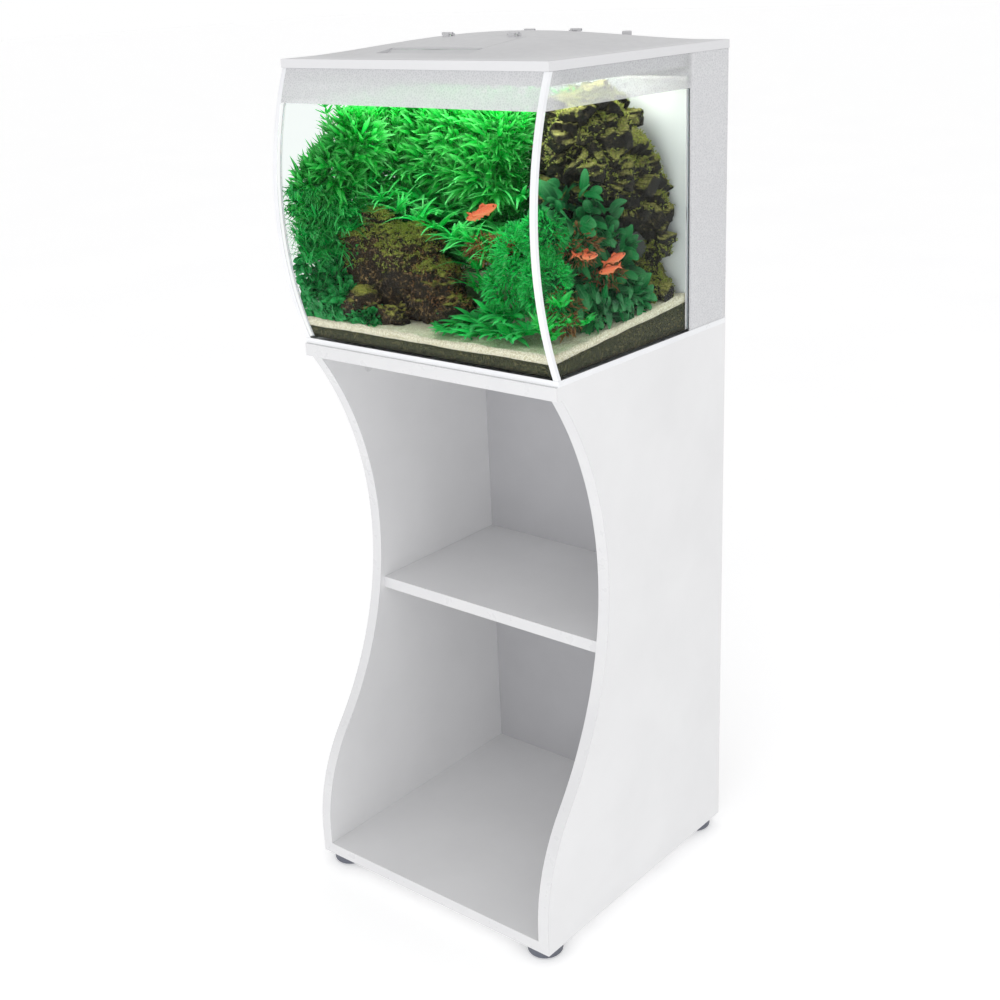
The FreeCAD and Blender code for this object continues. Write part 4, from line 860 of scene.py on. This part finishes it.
fern = Foliage(12)
for centre in ((-128, -30, 888), (-98, -22, 908), (-66, -26, 904), (-34, -30, 892), (-6, -34, 878),
               (24, -36, 870), (52, -40, 866), (-82, -48, 912), (-46, -52, 896), (-14, -62, 872),
               (38, -62, 862), (70, -54, 870), (-112, -52, 900), (-146, -40, 870), (8, -16, 900),
               (-60, -34, 936), (-20, -30, 930), (20, -30, 924), (-100, -30, 940), (56, -30, 918)):
    rosette(fern, centre, 17, 74, 7.8, 1.0, 0.5, (0.12, -0.28, 0))
for centre in ((-170, -110, 930), (-160, -130, 900), (-176, -84, 950), (-150, -96, 920), (-180, -126, 870),
               (-128, -96, 936), (-100, -100, 918), (-70, -104, 908), (-40, -100, 900), (-14, -100, 892),
               (14, -104, 884), (40, -100, 880), (34, -84, 846), (52, -80, 826), (64, -84, 854),
               (30, -78, 818), (66, -76, 806)):
    rosette(fern, centre, 15, 52, 5.5, 1.0, 0.4, (0.0, -0.05, 0))
fern.piece("fern_leaves", GREEN["fern"], "blade", rows=9)

grass = Foliage(13)
for count, across, deep, height, length in (
    (34, (-190, -150), (-126, -50), (810, 900), 78),
    (40, (-190, -160), (-168, -126), (846, 930), 58),
    (12, (-160, -126), (-140, -118), (868, 912), 50),
):
    for _ in range(count):
        place = (grass.random.uniform(*across), grass.random.uniform(*deep), grass.random.uniform(*height))
        rosette(grass, place, 26, length, 2.8, 0.8, 0.6)
grass.piece("grass_leaves", GREEN["grass"], "blade", rows=8)

moss = Foliage(14)
tuft(moss, *mound_points(moss.random, (
    (112, -96, 868, 34, 28, 40), (150, -104, 842, 28, 26, 40), (92, -92, 832, 34, 28, 34),
    (140, -92, 894, 26, 24, 26),
), 2400), 2, 9, 2.2, (0.1, 1.0))
moss.piece("moss_mound_leaves", GREEN["moss"], "lance", rows=3)

low = Foliage(15)
for count, lumps in (
    (600, ((-166, -120, 812, 22, 20, 30), (-142, -134, 796, 20, 16, 20), (-178, -96, 842, 14, 30, 36),
           (-100, -138, 782, 18, 10, 10))),
    (520, ((-176, -146, 798, 16, 16, 26), (-183, -146, 838, 10, 18, 32), (-150, -144, 788, 22, 12, 16))),
):
    tuft(low, *mound_points(low.random, lumps, count), 2, 13, 7.0, (0.0, 1.0))
low.piece("low_left_leaves", GREEN["low"], "oval", rows=5)

front = Foliage(16)
for centre in ((18, -122, 776), (44, -128, 778), (72, -132, 780), (98, -128, 784), (60, -116, 790),
               (84, -112, 800), (120, -134, 784), (34, -112, 784), (146, -132, 790), (106, -116, 800)):
    rosette(front, centre, 24, 42, 8.5, 1.0, 0.45, (0, -0.2, 0), (0.2, 1.0))
front.piece("front_leaves", GREEN["moss"], "lance", rows=6)

corner = Foliage(17)
for centre in ((172, -128, 786), (180, -108, 800), (184, -86, 796), (176, -140, 800), (182, -120, 824)):
    rosette(corner, centre, 24, 34, 6.4, 0.8, 0.4, (0.1, -0.1, 0), (0.4, 1.0))
corner.piece("corner_leaves", GREEN["fern"], "lance", rows=6)

# Where the fish by the right pane swim, and the room that the leaves beside that pane leave round each.
RIGHT_FISH_X = 184
RIGHT_FISH = ((-72, 873), (-16, 860), (-30, 849))
BESIDE_PANE_X = 166
FISH_ROOM = 30

oval = Foliage(18)
oval_centres, oval_normals = mound_points(oval.random, (
    (150, -56, 906, 34, 34, 44), (160, -22, 870, 26, 34, 50), (164, -60, 846, 24, 34, 44),
    (150, 12, 846, 26, 28, 46), (176, -30, 812, 14, 40, 26), (172, 22, 800, 14, 22, 24),
), 560)
clear_of_fish = [
    centre[0] < BESIDE_PANE_X
    or min(math.hypot(centre[1] - y, centre[2] - z) for y, z in RIGHT_FISH) > FISH_ROOM
    for centre in oval_centres]
tuft(oval, oval_centres[clear_of_fish], oval_normals[clear_of_fish], 1, 25, 13, (0.0, 1.0), 0.9)
oval.piece("oval_leaves", GREEN["oval"], "oval", rows=6)

rust = Foliage(19)
tuft(rust, *mound_points(rust.random, (
    (164, -66, 880, 26, 26, 22), (172, -100, 812, 16, 22, 26), (160, -18, 838, 28, 30, 16),
    (56, -86, 872, 34, 16, 14),
), 620), 2, 9, 2.4, (0.1, 1.0))
stone_spots, stone_facing = surface_points(front_stone, 260, 24, -0.3, ((-40, 40), (-140, -60), (800, 900)))
tuft(rust, stone_spots, stone_facing, 3, 4, 1.4, (0.0, 1.0), 1.0)
rust.piece("rust_moss_leaves", GREEN["brown"], "lance", rows=3)

olive = Foliage(20)
for piece, count, lowest_up, box in (
    (rear_stone, 3000, 0.3, ((-200, 200), (-200, 200), (900, 1060))),
    (rear_stone, 900, -0.2, ((136, 200), (20, 120), (790, 866))),
    (front_stone, 1300, 0.35, ((-200, -60), (-200, 200), (840, 1060))),
    (front_stone, 500, 0.5, ((-60, 200), (-200, 200), (840, 1060))),
):
    spots, facing = surface_points(piece, count, 21, lowest_up, box)
    tuft(olive, spots, facing, 3, 3.6, 1.5, (0.0, 1.0), 1.0)
olive.piece("olive_moss_leaves", GREEN["olive"], "lance", rows=3)


# ---------------- fish


def fish(name, place, heading, pitch, length):
    """A small orange fish: a lofted body, a forked tail, fins and eyes, in shares of its length."""
    nose, tail_root, belly_sag, around = 0.42, 0.84, 0.012, 14
    eye_x, eye_y, eye_z, eye_radius = 0.32, 0.052, 0.022, 0.026
    # How far behind the nose each ring of the body is, its half height and its half width.
    stations = ((0.00, 0.020, 0.016), (0.05, 0.062, 0.044), (0.13, 0.105, 0.068), (0.24, 0.140, 0.084),
                (0.36, 0.152, 0.086), (0.48, 0.142, 0.078), (0.60, 0.112, 0.062), (0.70, 0.078, 0.044),
                (0.78, 0.054, 0.028), (tail_root, 0.050, 0.016))
    vertices, faces, values = [], [], []
    for way, high, wide in stations:
        for index in range(around):
            angle = index * TAU / around
            belly = -belly_sag * math.sin(math.pi * way / tail_root)
            vertices.append((nose - way, wide * math.cos(angle), belly + high * math.sin(angle)))
            values.append((0.5 + 0.5 * math.sin(angle), way, 1.0))
    faces += tube_faces(0, len(stations) - 1, around)
    faces.append(tuple(reversed(range(around))))
    faces.append(tuple(range(len(vertices) - around, len(vertices))))
    fin_half = 0.004
    fins = (
        ((-0.40, 0.048), (-0.58, 0.150), (-0.54, 0.060), (-0.50, 0.0), (-0.54, -0.060), (-0.58, -0.150),
         (-0.40, -0.048)),
        ((0.10, 0.130), (0.02, 0.225), (-0.10, 0.190), (-0.17, 0.095), (-0.05, 0.120)),
        ((-0.06, -0.140), (-0.14, -0.205), (-0.26, -0.115), (-0.22, -0.085)),
        ((0.12, -0.150), (0.06, -0.215), (0.02, -0.160)),
    )
    for outline in fins:
        for offset in (-fin_half, fin_half):
            first = len(vertices)
            for x, z in outline:
                vertices.append((x, offset, z))
                values.append((0.5 + z * 1.5, 0.5, 1.0))
            ring = tuple(range(first, first + len(outline)))
            faces.append(ring if offset > 0 else tuple(reversed(ring)))
        faces += tube_faces(first - len(outline), 1, len(outline))
    turn = Matrix.Rotation(heading, 4, "Z") @ Matrix.Rotation(pitch, 4, "Y")
    shift = Matrix.Translation(Vector(place) * MM) @ turn @ Matrix.Scale(length * MM, 4)
    body = fixed_piece(name, [shift @ Vector(v) for v in vertices], faces, SKIN)
    set_leaf_attribute(body.data, np.array(values))
    work = bmesh.new()
    for side in (-1, 1):
        eye = shift @ Matrix.Translation((eye_x, side * eye_y, eye_z)) @ Matrix.Scale(eye_radius, 4)
        bmesh.ops.create_icosphere(work, subdivisions=2, radius=1.0, matrix=eye)
    mesh = bpy.data.meshes.new(name + "_eyes")
    work.to_mesh(mesh)
    work.free()
    mesh.materials.append(EYE)
    shade_smooth(mesh)
    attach(placed(name + "_eyes", mesh), "root")


for index, (place, heading, pitch, length) in enumerate((
    ((84, -126, 924), 0.5, -0.35, 36), ((66, -122, 915), 3.5, 0.3, 27),
    ((RIGHT_FISH_X, *RIGHT_FISH[0]), 1.1, 0.12, 34), ((RIGHT_FISH_X, *RIGHT_FISH[1]), 1.1, -0.3, 32),
    ((RIGHT_FISH_X, *RIGHT_FISH[2]), 4.2, 0.2, 30),
)):
    fish(f"fish_{index + 1}", place, heading, pitch, length)


# ---------------- water and seams


def water_body():
    """The water of the main chamber, with a gently rippled top."""
    columns, rows, levels = 60, 50, 24
    top_z, low_z = WATER_Z - 1.2, SOIL_REAR_Z - 8
    side_x, rear_y, front_gap = PANE_INSIDE_X - 0.25, PARTITION_FRONT_Y - 0.3, 0.35
    outline = []
    for level in range(levels + 1):
        z = low_z + (top_z - low_z) * level / levels
        outline.append((front_inner_y(z) + front_gap, z))

    def column_ring(x):
        ring = [(x, y, z) for y, z in outline]
        for row in range(1, rows + 1):
            y = outline[-1][0] + (rear_y - outline[-1][0]) * row / rows
            swell = 0.0 if abs(x) > side_x - 1 else ripple(x, y, 34, 0.8, 5.5)
            ring.append((x, y, top_z + swell))
        ring.append((x, rear_y, low_z))
        return ring

    vertices = []
    for column in range(columns + 1):
        vertices += column_ring(-side_x + 2 * side_x * column / columns)
    size = len(vertices) // (columns + 1)
    faces = [(a, d, c, b) for a, b, c, d in tube_faces(0, columns, size)]
    faces.append(tuple(range(size)))
    faces.append(tuple(reversed(range(columns * size, (columns + 1) * size))))
    fixed_piece("water", [Vector(v) * MM for v in vertices], faces, water_surface())


def bead(name, line, radius):
    """A concave bead of silicone. line gives each corner point with the two ways out of the corner."""
    arc = 5
    vertices = []
    for corner_point, sideways, inward in line:
        vertices.append(corner_point)
        for index in range(arc + 1):
            angle = index / arc * math.pi / 2
            vertices.append(corner_point + radius * (
                sideways * (1 - math.sin(angle)) + inward * (1 - math.cos(angle))))
    size = arc + 2
    last = len(line) - 1
    faces = tube_faces(0, last, size)
    faces.append(tuple(range(size)))
    faces.append(tuple(reversed(range(last * size, (last + 1) * size))))
    fixed_piece(name, np.array(vertices) * MM, faces, SILICONE)


SEAM_STEPS = 40
SEAM_LOW_Z = TANK_FLOOR_Z + 0.5
SUNK = 0.05  # how deep the beads sit in the surfaces they seal
water_body()
for side, side_name in ((-1, "left"), (1, "right")):
    sideways = np.array((-side, 0.0, 0.0))
    x = side * (PANE_INSIDE_X - SUNK)
    bow, upright = [], []
    for z in np.linspace(SEAM_LOW_Z, SEAM_TOP_Z, SEAM_STEPS + 1):
        y = front_inner_y(z) + SUNK
        inward = unit((0, FRONT_ARC_Y - y, FRONT_ARC_Z - z))
        bow.append((np.array((x, y, z)), sideways, inward))
    for z in (SEAM_LOW_Z, WATER_Z + 6):
        upright.append((np.array((x, PARTITION_REAR_Y + SUNK, z)), sideways, np.array((0.0, 1.0, 0.0))))
    bead("silicone_seam_" + side_name, bow, 3.2)
    bead("partition_seam_" + side_name, upright, 6.0)


# ---------------- camera, light and floor


def look_camera():
    """A camera to the front right of the object, looking down on it, with a slight roll."""
    place = (1.1345, -1.3643, 1.1806)
    yaw, pitch, roll = 0.7016, 0.3555, -0.0434
    back = Vector((math.sin(yaw) * math.cos(pitch), -math.cos(yaw) * math.cos(pitch), math.sin(pitch)))
    right = Vector((math.cos(yaw), math.sin(yaw), 0))
    up = back.cross(right)
    rolled_right = right * math.cos(roll) + up * math.sin(roll)
    rolled_up = up * math.cos(roll) - right * math.sin(roll)
    turn = Matrix((rolled_right, rolled_up, back)).transposed().to_4x4()
    data = bpy.data.cameras.new("camera")
    data.lens = 51.9
    data.sensor_width = 36
    camera = placed("camera", data)
    camera.matrix_world = Matrix.Translation(place) @ turn
    bpy.context.scene.camera = camera


def area_light(name, place, target, size, power, colour=(1, 1, 1)):
    """A soft rectangular light, places and sizes in metres, that neither the camera nor a gloss sees."""
    data = bpy.data.lights.new(name, "AREA")
    data.shape = "RECTANGLE"
    data.size, data.size_y = size
    data.energy = power
    data.color = colour
    light = placed(name, data)
    light.location = place
    light.rotation_euler = (Vector(target) - Vector(place)).to_track_quat("-Z", "Y").to_euler()
    light.visible_camera = False
    light.visible_glossy = False
    return light


def studio():
    """White surroundings, two soft lights from the right, the lamp in the lid and a white floor."""
    seen_brightness, lit_brightness = 1.0, 0.79
    world = bpy.data.worlds.new("white studio")
    world.use_nodes = True
    light_paths = world.node_tree.nodes.new("ShaderNodeLightPath")
    brightness = world.node_tree.nodes.new("ShaderNodeMapRange")
    brightness.inputs["To Min"].default_value = lit_brightness
    brightness.inputs["To Max"].default_value = seen_brightness
    background = world.node_tree.nodes["Background"]
    background.inputs["Color"].default_value = (1, 1, 1, 1)
    world.node_tree.links.new(light_paths.outputs["Is Camera Ray"], brightness.inputs["Value"])
    world.node_tree.links.new(brightness.outputs["Result"], background.inputs["Strength"])
    bpy.context.scene.world = world
    bpy.context.scene.view_settings.view_transform = "Standard"
    area_light("high soft light", (2.4, -1.2, 2.6), (0, 0, 0.6), (2.2, 2.2), 6.5)
    area_light("front soft light", (1.35, -3.0, 0.85), (-0.1, 0, 0.45), (1.4, 1.2), 27)
    lamp = area_light("tank lamp", (0, -0.02, 1.0625), (0, -0.02, 0.8), (0.33, 0.21), 1.45, (1.0, 0.99, 0.96))
    lamp.parent = frame["bodies"]["lid"]
    tree = Tree("white studio floor")
    base = tree.mix(tree.cloud(2, 2), (247, 247, 247.6), (249.3, 249.3, 249.3))
    material = tree.surface(base, 0.6, None, {
        "Specular IOR Level": 0.1, "Emission Color": (1, 1, 1, 1), "Emission Strength": 0.25})
    reach = 30
    mesh = bpy.data.meshes.new("studio_floor")
    mesh.from_pydata([(-reach, -reach, 0), (reach, -reach, 0), (reach, reach, 0), (-reach, reach, 0)],
                     [], [(0, 1, 2, 3)])
    mesh.materials.append(material)
    floor = placed("studio_floor", mesh)


look_camera()
studio()
